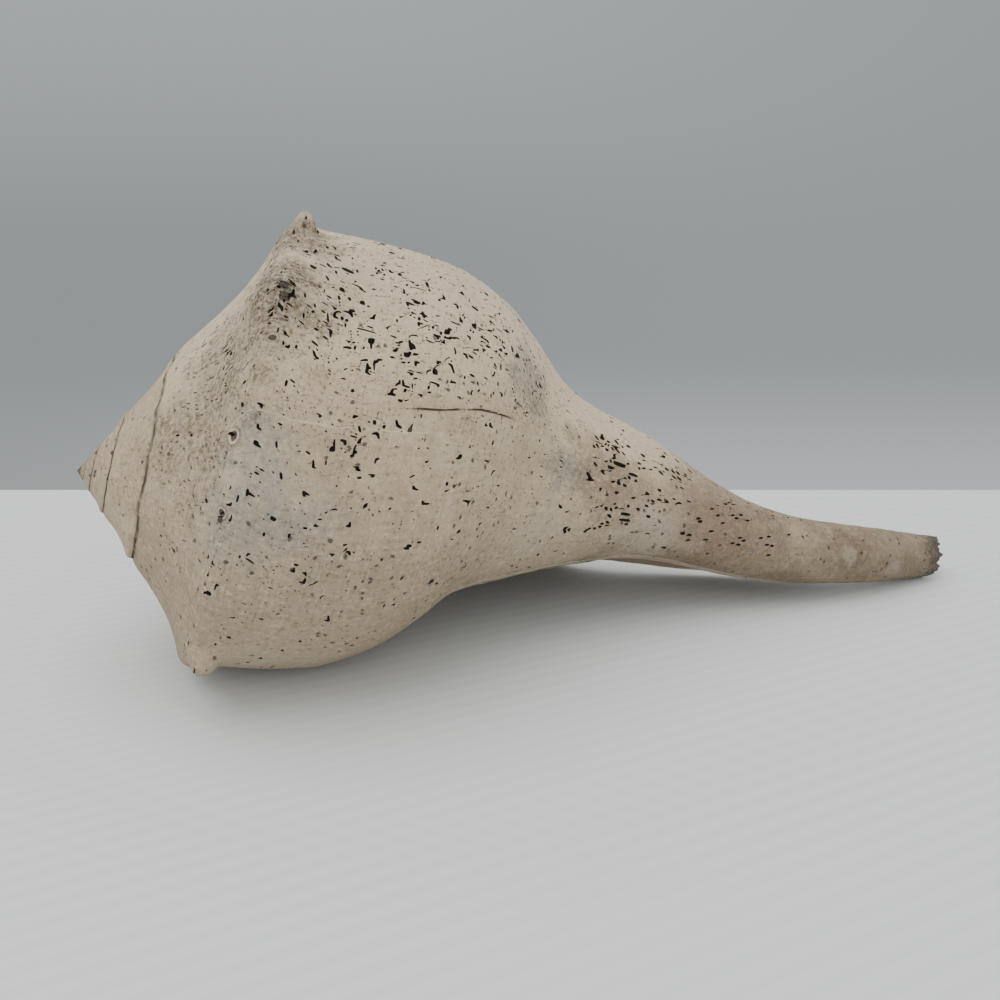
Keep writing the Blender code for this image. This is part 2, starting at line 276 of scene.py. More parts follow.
def store_places(mesh: bpy.types.Mesh, turns: np.ndarray, rows: np.ndarray) -> None:
    """Keeps the turn (in whorls) and the row of every face corner as the map "coil"."""
    layer = mesh.uv_layers.new(name=MAP)
    layer.uv.foreach_set("vector", np.column_stack([turns / 360, rows]).ravel().astype(np.float32))


def store(mesh: bpy.types.Mesh, name: str, values: np.ndarray, domain: str = "POINT") -> None:
    """Keeps a number or a vector for each point or face, as a named attribute."""
    kind, key = ("FLOAT_VECTOR", "vector") if np.ndim(values) == 2 else ("FLOAT", "value")
    mesh.attributes.new(name, kind, domain).data.foreach_set(key, np.ravel(values).astype(np.float32))


def store_marks(mesh: bpy.types.Mesh, marks: np.ndarray, arch: np.ndarray) -> None:
    """Keeps how far each point is from the lines that the finish draws.

    Args:
        mesh: where they are kept.
        marks: degrees to the first and the second old lip, and rows to the seam.
        arch: degrees to the flaking edge under the neck.
    """
    store(mesh, "marks", marks)
    store(mesh, "arch", arch)


# The shell's rule of growth


def smooth_curve(values: np.ndarray, places: np.ndarray) -> np.ndarray:
    """Curve through values at whole places, with no overshoot between them.

    Args:
        values: the curve's values at 0, 1, 2 and so on.
        places: where the curve is read.

    Returns:
        Its value at each place.
    """
    steps = np.diff(values)
    slopes = np.zeros_like(values)
    same_way = steps[:-1] * steps[1:] > 0
    inner = np.zeros_like(steps[:-1])
    inner[same_way] = 2 * steps[:-1][same_way] * steps[1:][same_way] / (steps[:-1] + steps[1:])[same_way]
    slopes[1:-1] = inner
    slopes[0], slopes[-1] = steps[0], steps[-1]
    first = np.clip(np.floor(places).astype(int), 0, len(steps) - 1)
    t = places - first
    return (
        values[first] * (1 + 2 * t) * (1 - t) ** 2
        + slopes[first] * t * (1 - t) ** 2
        + values[first + 1] * t * t * (3 - 2 * t)
        + slopes[first + 1] * t * t * (t - 1)
    )


@dataclass(frozen=True)
class Coil:
    """The rule that the shell grows by, and the pose that it lies in.

    Each station is a place of the last whorl's profile at the lip: distance along the axis, radius, how
    far it follows the coil's growth, and how many degrees the lip edge leads there.
    """

    stations: tuple[tuple[float, float, float, float], ...] = (
        (0.0271, 0.0383, 1.00, -1.0),
        (0.0412, 0.0580, 1.00, -2.0),
        (0.0545, 0.0806, 1.00, 0.0),
        (0.0780, 0.0800, 1.00, -6.0),
        (0.1010, 0.0781, 1.00, -5.0),
        (0.1240, 0.0693, 0.99, -2.0),
        (0.1370, 0.0581, 0.97, 1.0),
        (0.1518, 0.0434, 0.95, 4.0),
        (0.1850, 0.0274, 0.90, 5.0),
        (0.2080, 0.0166, 0.75, 3.0),
        (0.2200, 0.0108, 0.32, 1.0),
        (0.2310, 0.0079, 0.00, 0.0),
        (0.2530, 0.0066, 0.00, 0.0),
    )
    shoulder: int = 2
    rounding: float = 0.14  # rows
    growth: float = 2.117
    lip: float = 207.5
    length: float = 0.2530
    bend_start: float = 0.196
    bend_back: float = 0.011
    sags: tuple[Vector3, ...] = (  # distance along the axis, height and spread
        (0.0, -0.0024, 0.012),
        (0.147, 0.0020, 0.018),
        (0.192, -0.0020, 0.022),
    )
    tilt: float = 10.88
    roll: float = -0.93
    apex: Vector3 = (-0.124438, -0.015418, 0.052907)

    def profile(self, rows: np.ndarray) -> np.ndarray:
        """Stations at any rows, with a rounded corner at the shoulder.

        Args:
            rows: where the profile is read.

        Returns:
            Four numbers for each row.
        """
        rows = np.atleast_1d(np.asarray(rows, float))
        soft = self.rounding * np.clip(1 - np.abs(rows - self.shoulder) / (3 * self.rounding), 0, 1)
        return (self.cornered(rows - soft) + 2 * self.cornered(rows) + self.cornered(rows + soft)) / 4

    def cornered(self, rows: np.ndarray) -> np.ndarray:
        """As profile(), with a sharp corner at the shoulder."""
        table = np.array(self.stations)
        made = np.empty((len(rows), 4))
        above = rows < self.shoulder
        for column in range(4):
            made[above, column] = smooth_curve(table[: self.shoulder + 1, column], rows[above])
            made[~above, column] = smooth_curve(table[self.shoulder :, column], rows[~above] - self.shoulder)
        return made

    def size(self, turns: np.ndarray) -> np.ndarray:
        """Size of the whorl at these turns, 1 at the lip."""
        return self.growth ** ((turns - self.lip) / 360)

    def tree(self) -> bpy.types.NodeTree:
        """The rule as Geometry Nodes: it puts each point where its attributes say that it grew."""
        t, given = new_group("coil", self.inputs())
        turn, rise = t.stored("turn"), t.stored("rise")
        size = given["Whorl Growth"] ** ((turn - given["Lip Angle"]) / 360.0)

        def grown(name: str) -> tuple[Signal, Signal]:
            """Distance along and radius of a station, at the whorl's size."""
            along, radius, follow = t.split(t.stored(name, "FLOAT_VECTOR"))
            share = size**follow
            return along * share, radius * share

        along, radius = grown("here")
        ahead, behind = grown("ahead"), grown("behind")
        run, climb = ahead[0] - behind[0], ahead[1] - behind[1]
        norm = (run * run + climb * climb) ** 0.5
        along = along - rise * climb / norm
        radius = radius + rise * run / norm

        angle = (turn + t.stored("lead")) * math.radians(1)
        reach = given["Length"] - given["Bend Start"]
        past = t.math("MAXIMUM", (along - given["Bend Start"]) / reach, 0.0)
        up = radius * t.math("SINE", angle)
        for number in range(len(self.sags)):
            middle, height, spread = t.split(given[f"Sag {number}"])
            away = (along - middle) / spread
            up = up + height * t.math("EXPONENT", away * away * -1.0)
        back = given["Bend Back"] * past * past - radius * t.math("COSINE", angle)

        placed = t.change("SetPosition", given["Geometry"], Position=t.combine(along, back, up))
        return t.finish(t.change("Transform", placed, Translation=given["Apex"], Rotation=given["Pose"]))

    def inputs(self) -> dict[str, object]:
        """Values for the inputs of the coil's tree."""
        values: dict[str, object] = {
            "Whorl Growth": self.growth,
            "Lip Angle": self.lip,
            "Length": self.length,
            "Bend Start": self.bend_start,
            "Bend Back": self.bend_back,
            "Apex": self.apex,
            "Pose": (math.radians(self.roll), math.radians(self.tilt), 0.0),
        }
        return values | {f"Sag {number}": sag for number, sag in enumerate(self.sags)}

    def wrap(
        self,
        mesh: bpy.types.Mesh,
        turns: np.ndarray,
        stations: np.ndarray,
        rises: np.ndarray,
        slopes: tuple[np.ndarray, np.ndarray],
    ) -> bpy.types.Mesh:
        """Grows a mesh on the coil.

        Args:
            mesh: its faces and attributes are kept, and its points are moved.
            turns: turn of each point.
            stations: profile station of each point.
            rises: how far each point stands off the surface.
            slopes: the stations just ahead of and behind each point.

        Returns:
            The grown mesh.
        """
        steps = {"rise": rises, "lead": stations[:, 3], "here": stations[:, :3]}
        steps |= {"ahead": slopes[0][:, :3], "behind": slopes[1][:, :3]}
        for name, values in ({"turn": turns} | steps).items():
            store(mesh, name, values)
        grown = run_tree(mesh, bpy.data.node_groups.get("coil") or self.tree(), self.inputs())
        for name in steps:
            grown.attributes.remove(grown.attributes[name])
        return grown

    def slopes(self, rows: np.ndarray) -> tuple[np.ndarray, np.ndarray]:
        """Stations just ahead of and behind these rows."""
        nudge, last = 0.01, len(self.stations) - 1
        return self.profile(np.clip(rows + nudge, 0, last)), self.profile(np.clip(rows - nudge, 0, last))

    def points(self, turns: Iterable[float], rows: Iterable[float], rises: Iterable[float]) -> np.ndarray:
        """Places in the part's frame of single points of the shell.

        Args:
            turns: their turns.
            rows: their rows.
            rises: how far each stands off the surface.

        Returns:
            One place for each.
        """
        rows = np.asarray(rows, float)
        return self.station_points(turns, self.profile(rows), rises, self.slopes(rows))

    def station_points(
        self,
        turns: Iterable[float],
        stations: np.ndarray,
        rises: Iterable[float],
        slopes: tuple[np.ndarray, np.ndarray],
    ) -> np.ndarray:
        """As points(), for stations that need not lie on the profile."""
        mesh = bpy.data.meshes.new("points")
        mesh.from_pydata([(0, 0, 0)] * len(stations), [], [])
        grown = self.wrap(mesh, np.asarray(turns, float), stations, np.asarray(rises, float), slopes)
        places = np.empty(len(stations) * 3, np.float32)
        grown.vertices.foreach_get("co", places)
        bpy.data.meshes.remove(grown)
        return places.reshape(-1, 3).astype(float)

    def rotation(self) -> Matrix:
        """Turns the coil's own directions into the part's frame."""
        tilt, roll = math.radians(self.tilt), math.radians(self.roll)
        return Matrix.Rotation(tilt, 4, "Y") @ Matrix.Rotation(roll, 4, "X")


# What stands on the surface


@dataclass(frozen=True)
class Knobs:
    """The knobs of the shoulder, every `step` degrees back from the lip."""

    first: float = 185.0
    step: float = 25.0
    spread: float = 6.0
    up: float = 0.45
    down: float = 0.42
    plain: float = 0.0022
    # Knobs further back than these are all of the plain height, times the size of the whorl.
    heights: tuple[float, ...] = (
        0.0042, 0.0036, 0.0042, 0.0028, 0.0012, 0.0026, 0.0018, 0.0011, 0.0014, 0.0010, 0.0014,
    )

    def rise(self, turns: np.ndarray, rows: np.ndarray, coil: Coil) -> np.ndarray:
        """How far the knobs lift the surface at each point."""
        reach = np.where(rows < coil.shoulder, self.up, self.down)
        across = np.exp(-(((rows - coil.shoulder) / reach) ** 2))
        nearest = np.round((self.first - turns) / self.step).astype(int)
        table = np.array(self.heights)
        total = np.zeros(len(turns))
        for index in (nearest - 1, nearest, nearest + 1):
            known = (index >= 0) & (index < len(table))
            listed = table[np.clip(index, 0, len(table) - 1)]
            height = np.where(known, listed, self.plain * coil.size(turns))
            height = np.where(index < 0, 0.0, height)
            total += height * np.exp(-(((turns - self.first + index * self.step) / self.spread) ** 2))
        return total * across


@dataclass(frozen=True)
class OldLip:
    """A line where growth once stopped: the shell behind it stands proud and sinks back."""

    path: tuple[Place, ...]  # row and turn
    rise: float
    fade: float
    ends: tuple[float, float, float, float]  # rows where it begins, is full, starts to fade and is gone

    def turn_at(self, rows: np.ndarray) -> np.ndarray:
        """The line's turn at these rows."""
        rows_of, turns_of = zip(*self.path)
        return np.interp(rows, rows_of, turns_of)

    def height(self, turns: np.ndarray, rows: np.ndarray) -> np.ndarray:
        """How far it lifts the surface at each point."""
        since = self.turn_at(rows) - turns
        rise = np.where(since >= 0, self.rise * np.exp(-np.maximum(since, 0) / self.fade), 0.0)
        return rise * np.interp(rows, self.ends, (0, 1, 1, 0))


def ripple(values: np.ndarray, seed: int, waves: tuple[float, ...]) -> np.ndarray:
    """Irregular smooth wave from about -1 to 1.

    Args:
        values: where it is read.
        seed: picks the phases.
        waves: its frequencies, in cycles for each unit of `values`.

    Returns:
        The wave at each value.
    """
    phases = np.random.default_rng(seed).uniform(0, math.tau, len(waves))
    total = sum(np.sin(math.tau * wave * values + phase) for wave, phase in zip(waves, phases))
    return total / len(waves) ** 0.5


@dataclass(frozen=True)
class Relief:
    """Everything that lifts or sinks the surface by more than the finish does."""

    knobs: Knobs = Knobs()
    old_lips: tuple[OldLip, ...] = (
        OldLip(
            (
                (2.0, 44), (2.4, 42), (2.8, 40), (3.7, 39), (4.3, 40),
                (4.85, 42), (6.0, 43), (7.2, 44.5), (8.0, 40),
            ),
            0.0007,
            26.0,
            (1.9, 2.2, 6.6, 8.0),
        ),
        OldLip(
            ((1.2, 27), (1.75, 27), (2.1, 29), (2.8, 33), (3.9, 34), (4.6, 34)),
            0.00022,
            9.0,
            (1.0, 1.5, 3.6, 4.6),
        ),
        OldLip(((2.0, 4), (3.0, 8), (5.0, 10), (7.0, 8)), 0.00015, 8.0, (2.1, 2.6, 5.0, 7.0)),
    )
    rings: tuple[tuple[float, float, float, float], ...] = (  # turn, row, radius, height
        (23.5, 1.84, 0.0017, 0.0008),
        (6.5, 1.92, 0.0011, 0.0004),
        (45.5, 2.08, 0.0016, 0.0005),
        (55.5, 2.12, 0.0021, 0.0005),
    )
    ring_width: float = 0.45  # share of the radius
    shoulder_radius: float = 0.078
    row_length: float = 0.0245  # at the shoulder of the lip
    callus: float = 0.0009
    callus_edge: float = -62.0
    arch: tuple[Place, ...] = (  # row and turn of the flaking edge under the neck
        (6.2, -25), (6.9, -36), (7.5, -41), (8.2, -41), (8.7, -44),
        (9.2, -48), (9.6, -52), (9.9, -56), (11.0, -64),
    )
    layers: tuple[Place, ...] = ((0.0, 0.5), (-4.0, 0.3), (-9.0, 0.2))  # offset, share of the callus
    seam_depth: float = 0.0007
    seam_width: float = 0.10

    def rise(self, turns: np.ndarray, rows: np.ndarray, seam_row: np.ndarray, coil: Coil) -> np.ndarray:
        """How far each point of the outside stands off the plain profile."""
        total = self.knobs.rise(turns, rows, coil)
        for lip in self.old_lips:
            total += lip.height(turns, rows)
        for turn, row, radius, height in self.rings:
            size = coil.size(np.array([turn]))[0]
            along = (turns - turn) * math.radians(self.shoulder_radius * size)
            away = np.hypot(along, (rows - row) * self.row_length * size)
            total += height * np.exp(-(((away - radius) / (radius * self.ring_width)) ** 2))
        on_whorl = (rows > seam_row) & (turns >= coil.lip - 360)
        inside = np.where(on_whorl, np.interp(rows, (8.5, 10.3), (1.0, 0.0)), 0.0)
        for number, (offset, share) in enumerate(self.layers):
            edge = self.callus_edge + offset + 1.6 * ripple(rows, 11 + number, (0.9, 2.3, 5.1))
            total += np.where(turns < edge, self.callus * share * inside, 0.0)
        size = coil.size(turns)
        sunk = np.exp(-((rows / self.seam_width) ** 2))
        covered = np.interp(turns - coil.lip, (-360, -352), (1, 0))
        sunk += np.exp(-(((rows - seam_row) / self.seam_width) ** 2)) * covered
        wander = 0.75 + 0.25 * ripple(turns, 5, (0.05, 0.13))
        return total - self.seam_depth * sunk * wander * np.clip(size * 2, 0, 1)


class Borings:
    """Picks the groups of cells that sponges and worms have bored, and draws each boring's rim."""

    # turn, row and cells of the largest ones
    large: tuple[tuple[float, float, int], ...] = (
        (68, 4.76, 9), (49, 4.12, 9), (53, 3.24, 8), (62, 4.2, 8), (59, 4.32, 8), (57.5, 2.76, 6),
        (60, 2.8, 6), (72, 4.6, 5), (60, 3.8, 5), (76.5, 3.4, 4), (53, 4.92, 4), (43.5, 4.72, 5),
        (52, 3.64, 5), (72.5, 3.6, 4), (57.5, 3.36, 4), (70, 2.32, 4), (52.5, 3.8, 4), (59, 6.08, 4),
        (57, 4.04, 4), (64, 3.0, 4), (36, 3.16, 4), (38, 3.2, 4), (59, 3.16, 4), (50, 3.84, 3),
        (75.5, 3.16, 4), (57.5, 4.16, 3), (57, 4.48, 3), (32, 7.0, 3), (49, 3.28, 3), (84, 4.4, 3),
        (63, 3.8, 3), (65.5, 4.28, 3), (47.5, 5.2, 3), (76.5, 5.64, 3), (43, 5.04, 3), (57, 3.8, 3),
        (15.5, 3.96, 2), (43, 3.96, 3), (54.5, 4.48, 3), (65.5, 5.48, 3), (53.5, 3.56, 3), (42, 3.04, 3),
        (55.5, 4.28, 3), (50, 7.72, 3), (37.5, 4.0, 2), (73, 3.8, 2), (66.5, 5.2, 3), (65.5, 4.96, 3),
        (63, 5.04, 3), (47, 3.0, 2), (50, 3.68, 2), (11, 3.12, 3), (36.5, 6.68, 2), (35, 2.76, 3),
        (34, 7.52, 3), (43.5, 4.48, 3), (30, 3.16, 3), (77.5, 3.48, 2), (25, 2.96, 2), (12, 2.2, 5),
        (22.5, 2.16, 5), (55, 2.12, 6), (45.5, 2.08, 5), (42.5, 2.04, 4), (44.5, 2.2, 3), (8, 1.96, 3),
        (6.5, 1.92, 4), (-14, 2.0, 6), (-12.5, 2.02, 4), (-18, 2.32, 3), (23.6, 1.82, 4), (24, 1.66, 3),
        (29.5, 0.48, 2), (25, 2.32, 2), (41.5, 7.84, 3), (33, 8.52, 2), (35.5, 8.6, 2), (30.5, 8.88, 2),
        (-0.5, 2.32, 3), (-8, 1.6, 2), (46.5, 1.88, 2), (55.5, 1.6, 2), (76.5, 1.48, 3),
    )
    patch: Place = (15, 0.75)  # degrees and rows
    # how many there are in each patch, by the turn where it starts
    counts: dict[int, tuple[int, ...]] = {
        75: (8, 24, 38, 34, 34, 24, 28, 22, 16, 10, 6, 4, 3),
        60: (12, 34, 66, 60, 48, 50, 54, 42, 34, 26, 14, 8, 4),
        45: (16, 44, 66, 58, 58, 50, 40, 32, 26, 28, 24, 12, 5),
        30: (12, 22, 36, 24, 24, 18, 12, 14, 16, 24, 22, 14, 7),
        15: (10, 16, 20, 18, 22, 12, 10, 8, 8, 12, 14, 9, 8),
        0: (10, 12, 22, 18, 14, 12, 6, 6, 6, 8, 9, 6, 6),
        -15: (10, 12, 14, 12, 14, 8, 8, 3, 3, 5, 3, 3, 1),
        -30: (4, 6, 8, 8, 8, 6, 4, 3, 3, 2, 2, 1, 1),
        -45: (2, 3, 5, 3, 3, 2, 2, 2, 1, 1, 1, 0, 0),
        -90: (0, 0, 5, 5, 5, 5, 5, 5, 4, 3, 1, 0, 0),
        90: (4, 7, 14, 16, 18, 16, 14, 12, 10, 6, 3, 1, 1),
        105: (3, 6, 10, 12, 12, 11, 10, 8, 6, 4, 2, 1, 0),
        120: (2, 5, 8, 10, 10, 8, 7, 6, 5, 4, 2, 1, 0),
        135: (2, 5, 7, 8, 8, 7, 6, 5, 5, 4, 2, 1, 0),
        150: (2, 4, 6, 7, 7, 6, 5, 5, 4, 2, 2, 1, 0),
        165: (1, 2, 5, 6, 6, 5, 5, 4, 2, 2, 1, 0, 0),
    }
    sizes: tuple[Place, ...] = (  # row, and cells beyond the first, on average
        (0.0, 0.3), (1.6, 0.7), (2.6, 1.1), (3.6, 1.3), (5.2, 1.1), (6.2, 0.7), (8.2, 0.45), (9.0, 0.15),
        (12.0, 0.05),
    )
    clumped: float = 0.6  # share of them
    clump_spread: float = 0.10  # of a patch
    straight: float = 0.65  # chance that a boring grows on from its last cell
    most_more: int = 5  # cells beyond the first
    tries: int = 8  # for each cell
    inset: tuple[float, float] = (0.22, 0.36)  # of a cell, from its edge to the rim
    uneven: tuple[float, float] = (0.7, 1.2)
    depth: tuple[float, float] = (0.0008, 0.0016)

    def __init__(self, seed: int) -> None:
        """Sets the seed of every choice."""
        self.chance = np.random.default_rng(seed)

    def sites(self) -> list[tuple[float, float, int]]:
        """Turn, row and number of cells of each boring, largest first."""
        found = list(self.large)
        for turn, counts in self.counts.items():
            for number, count in enumerate(counts):
                clumps = self.chance.random((count // 5 + 1, 2))
                for _ in range(count):
                    spot = self.chance.random(2)
                    if self.chance.random() < self.clumped:
                        clump = clumps[self.chance.integers(len(clumps))]
                        spot = clump + self.chance.normal(0, self.clump_spread, 2)
                    row = (number + spot[1]) * self.patch[1]
                    more = self.chance.exponential(np.interp(row, *zip(*self.sizes)))
                    found.append((turn + spot[0] * self.patch[0], row, 1 + min(int(more), self.most_more)))
        return sorted(found, key=lambda site: -site[2])

    def shape(self, count: int) -> list[tuple[int, int]]:
        """Cells of a boring that wanders as it goes, as steps from its first cell.

        Args:
            count: how many cells.

        Returns:
            Columns and rows. They never touch only at a corner.
        """
        ways = ((0, 1), (1, 0), (0, -1), (-1, 0))
        cells = [(0, 0)]
        for _ in range(count * self.tries):
            if len(cells) == count:
                break
            onward = self.chance.random() < self.straight
            x, y = cells[-1] if onward else cells[self.chance.integers(len(cells))]
            right, up = ways[self.chance.integers(4)]
            grown = [*cells, (x + right, y + up)]
            if len(set(grown)) == len(grown) and outline(grown):
                cells = grown
        return cells

    def rim(self, loop: list[Key], cells: list[Key], step: int) -> list[Key]:
        """Rim of a boring inside the cells that it takes.

        Args:
            loop: keys around the cells.
            cells: the cells' first corners.
            step: how many columns a cell takes.

        Returns:
            One key of the rim for each key of the loop.
        """
        middles = np.array([(column + step / 2, row + 0.5) for column, row in cells])
        inset, made = self.chance.uniform(*self.inset), []
        for key in loop:
            towards = middles - key
            towards = towards[np.abs(towards) @ (1 / step, 1.0) < 1.01]
            share = inset * self.chance.uniform(*self.uneven) * (0.5 if len(towards) == 2 else 1.0)
            made.append(np.add(key, share * towards.sum(axis=0)))
        # Each point moves a third of the way to the middle of its neighbours, which rounds the rim.
        return [
            tuple(0.66 * here + 0.17 * (before + after))
            for before, here, after in zip([made[-1], *made], made, [*made[1:], made[0]])
        ]

    def sink(self, cells: int) -> float:
        """Depth of a boring that takes this many cells."""
        low, high = self.depth
        return min(low + (high - low) * self.chance.uniform(0.1, 0.5) * cells**0.6, high)


def outline(cells: list[tuple[int, int]]) -> list[tuple[int, int]]:
    """Corners around a group of cells, in order: no corners if it has a hole or meets itself at one."""
    edges: dict[tuple[int, int], tuple[int, int]] = {}
    count = 0
    for x, y in cells:
        corners = [(x, y), (x, y + 1), (x + 1, y + 1), (x + 1, y)]
        beyond = [(x - 1, y), (x, y + 1), (x + 1, y), (x, y - 1)]
        for near, far, other in zip(corners, corners[1:] + corners[:1], beyond):
            if other not in cells:
                edges[near] = far
                count += 1
    start = min(edges)
    loop, here = [start], edges[start]
    while here != start and len(loop) <= count:
        loop.append(here)
        here = edges[here]
    return loop if len(loop) == count == len(edges) else []


@dataclass
class Skin:
    """The outside of the shell as one closed sheet of small cells."""

    coil: Coil
    relief: Relief = Relief()
    # column and turn
    knots: tuple[tuple[int, float], ...] = ((0, -152.5), (60, -38.0), (264, 97.0), (324, 207.5))
    spire_turns: float = 3.8  # whorls before the first column
    seam_row: float = 2.14  # the whorl is covered from here on by the next one
    seam_moves: tuple[Place, ...] = (  # turn, and rows that the seam is moved by
        (-382.0, -0.03), (-372.0, -0.10), (-358.0, -0.14), (-342.0, -0.09), (-330.0, -0.17),
        (-318.0, -0.21), (-290.0, -0.36), (-250.0, -0.36), (-150.0, 0.0),
    )
    scale: Place = (1.35, 21.0)  # millimetres in a degree and in a row, at the lip
    warp: float = 0.30  # millimetres at the lip, in each wave
    waves: tuple[Place, ...] = ((0.15, 0.06), (-0.08, 0.14), (0.11, -0.12))  # in each millimetre
    lip_cell: float = 0.662  # degrees between columns at the main old lip
    lip_row: float = 2.2  # columns follow the main old lip from here on
    canal_row: float = 11.0
    cells: tuple[float, float] = (0.00105, 0.0019)  # height on the body and on the canal
    sizes: tuple[float, float] = (1.0, 0.65)  # sizes of the whorl where a cell's height is measured
    wide_rows: tuple[float, float] = (7.4, 8.9)  # cells are two, then four columns wide from here on
    slope_steps: int = 28
    crowding: float = 0.45  # how much closer the slope's rows are near the shoulder
    shoulder_steps: int = 4
    mouth_row: float = 4.0
    mouth: tuple[float, float, float, float] = (0.058, 0.058, 0.0, -3.0)  # a station, as the coil's are
    end_hollow: float = 0.0035
    apex_rise: float = 0.0012
    teeth: tuple[Vector3, ...] = (  # waves round the canal's broken end, their depth and phase
        (3.0, 0.0007, 0.4),
        (7.0, 0.0006, 1.9),
        (11.0, 0.0006, 0.9),
        (23.0, 0.0005, 2.2),
    )
    corner: float = 0.0026  # how much further back the end is broken underneath
    end_rows: int = 9  # rows of cells that follow the broken end
    clear_rows: tuple[int, int] = (4, 8)  # left without borings at the seam and at the broken end
    clear_columns: tuple[int, int] = (2, 4)  # and at the first column and the lip
    roughest: tuple[tuple[float, float, float, float, float], ...] = (  # turn, row, their spreads, how much
        (62.0, 1.75, 13.0, 0.55, 2.6),
        (47.0, 1.3, 9.0, 0.6, 1.6),
        (82.0, 2.3, 7.0, 0.4, 1.6),
        (45.5, 2.1, 3.0, 0.2, 2.0),
        (60.0, 6.2, 9.0, 0.8, 1.2),
    )
    faces: list[list[Key]] = field(default_factory=list)
    bored: list[tuple[list[Key], float]] = field(default_factory=list)  # rim and depth of each boring

    def __post_init__(self) -> None:
        """Lists the rows, and finds the columns and rows where the sheet changes."""
        self.columns = self.knots[-1][0]
        self.rows = self.row_list()
        self.seam = self.slope_steps + self.shoulder_steps
        self.last = len(self.rows) - 1
        self.tube = int(np.argmin(np.abs(self.rows - self.canal_row)))
        self.first = -round(self.spire_turns * self.columns)

    def row_list(self) -> np.ndarray:
        """Rows of the sheet, about one cell apart at the lip."""
        fine = np.linspace(self.seam_row, len(self.coil.stations) - 1, 2000)
        along, radius, follow, _ = self.coil.profile(fine).T
        shares = [size**follow for size in self.sizes]
        lengths = [np.hypot(np.diff(along * share), np.diff(radius * share)) for share in shares]
        run = np.concatenate([[0], np.cumsum(np.maximum(*lengths))])
        ends = np.interp((self.seam_row, self.wide_rows[0], self.canal_row, fine[-1]), fine, run)
        slope = np.linspace(0, 1, self.slope_steps + 1)
        parts = [self.coil.shoulder * (slope + self.crowding * slope * (1 - slope))]
        parts.append(np.linspace(self.coil.shoulder, self.seam_row, self.shoulder_steps + 1))
        body, canal = self.cells
        for start, stop, cell in zip(ends, ends[1:], (body, canal, canal)):
            count = round((stop - start) / cell) + 1
            parts.append(np.interp(np.linspace(start, stop, count), run, fine))
        return np.concatenate([parts[0], *(part[1:] for part in parts[1:])])

    def width(self, index: int) -> int:
        """Columns that a cell takes, at this row of the list."""
        row = self.rows[index]
        return 1 if row < self.wide_rows[0] else 2 if row < self.wide_rows[1] else 4

    def height(self, column: int) -> int:
        """Rows of the list that a cell of the slope takes, at this column."""
        return 1 if column >= 0 else 2 if column >= -self.columns else 4

    def owner(self, key: Key) -> Key:
        """The key that a vertex is kept under, where two whorls or the canal's two edges share it."""
        column, index = key
        if index == 0 and column >= self.first + self.columns:
            return column - self.columns, self.seam
        if index >= self.tube and column == self.columns:
            return 0, index
        return key

    def lay_slope(self) -> None:
        """Cells between the seam with the whorl before and the shoulder, on the spire and the last whorl."""
        for column in range(self.first, 0):
            step = self.height(column)
            for index in range(0, self.seam, step):
                face = [(column, index), (column, index + step), (column + 1, index + step)]
                if self.height(column + 1) < step:
                    face.append((column + 1, index + step // 2))
                self.faces.append([*face, (column + 1, index)])

    def lay_body(self, taken: set[tuple[int, int]]) -> None:
        """Cells of the last whorl, but for those taken by borings."""
        for index in range(self.last):
            step, below = self.width(index), self.width(index + 1)
            for column in range(0, self.columns, below):
                if (column, index) in taken:
                    continue
                far = column + below
                face = [(column, index), (column, index + 1), (far, index + 1), (far, index)]
                self.faces.append(face + ([(column + step, index)] if below > step else []))

    def lay_ends(self) -> None:
        """Faces that close the mouth, the broken end and the tip of the spire."""
        lip = self.columns
        deep = int(np.searchsorted(self.rows, self.mouth_row))
        edge = [(lip, index) for index in range(deep + 1)]
        edge += [(0, index) for index in range(deep, self.seam - 1, -1)]
        self.faces += [[near, far, MOUTH] for near, far in zip(edge, edge[1:])]
        for index in range(deep, self.tube):
            self.faces.append([(lip, index), (lip, index + 1), (0, index + 1), (0, index)])
        step = self.width(self.last)
        for column in range(0, lip, step):
            self.faces.append([(column, self.last), END, (column + step, self.last)])
        for column in range(self.first, self.first + self.columns):
            self.faces.append([(column, 0), (column + 1, 0), TIP])
        corner, step = (self.first, self.seam), self.height(self.first)
        self.faces.append([corner, (self.first, 0), TIP])
        for index in range(0, self.seam - step, step):
            self.faces.append([corner, (self.first, index + step), (self.first, index)])

    def free(self, cells: set[tuple[int, int]], step: int, taken: set[tuple[int, int]]) -> bool:
        """Whether a boring may take these cells, which are `step` columns wide."""
        columns, rows = [x for x, _ in cells], [y for _, y in cells]
        if min(rows) < 1 or {self.width(min(rows) - 1), self.width(max(rows) + 2)} != {step}:
            return False
        first, last = self.clear_columns
        if min(columns) < first * step or max(columns) > self.columns - last * step or cells & taken:
            return False
        return not any(self.by_lip(*cell) for cell in cells)

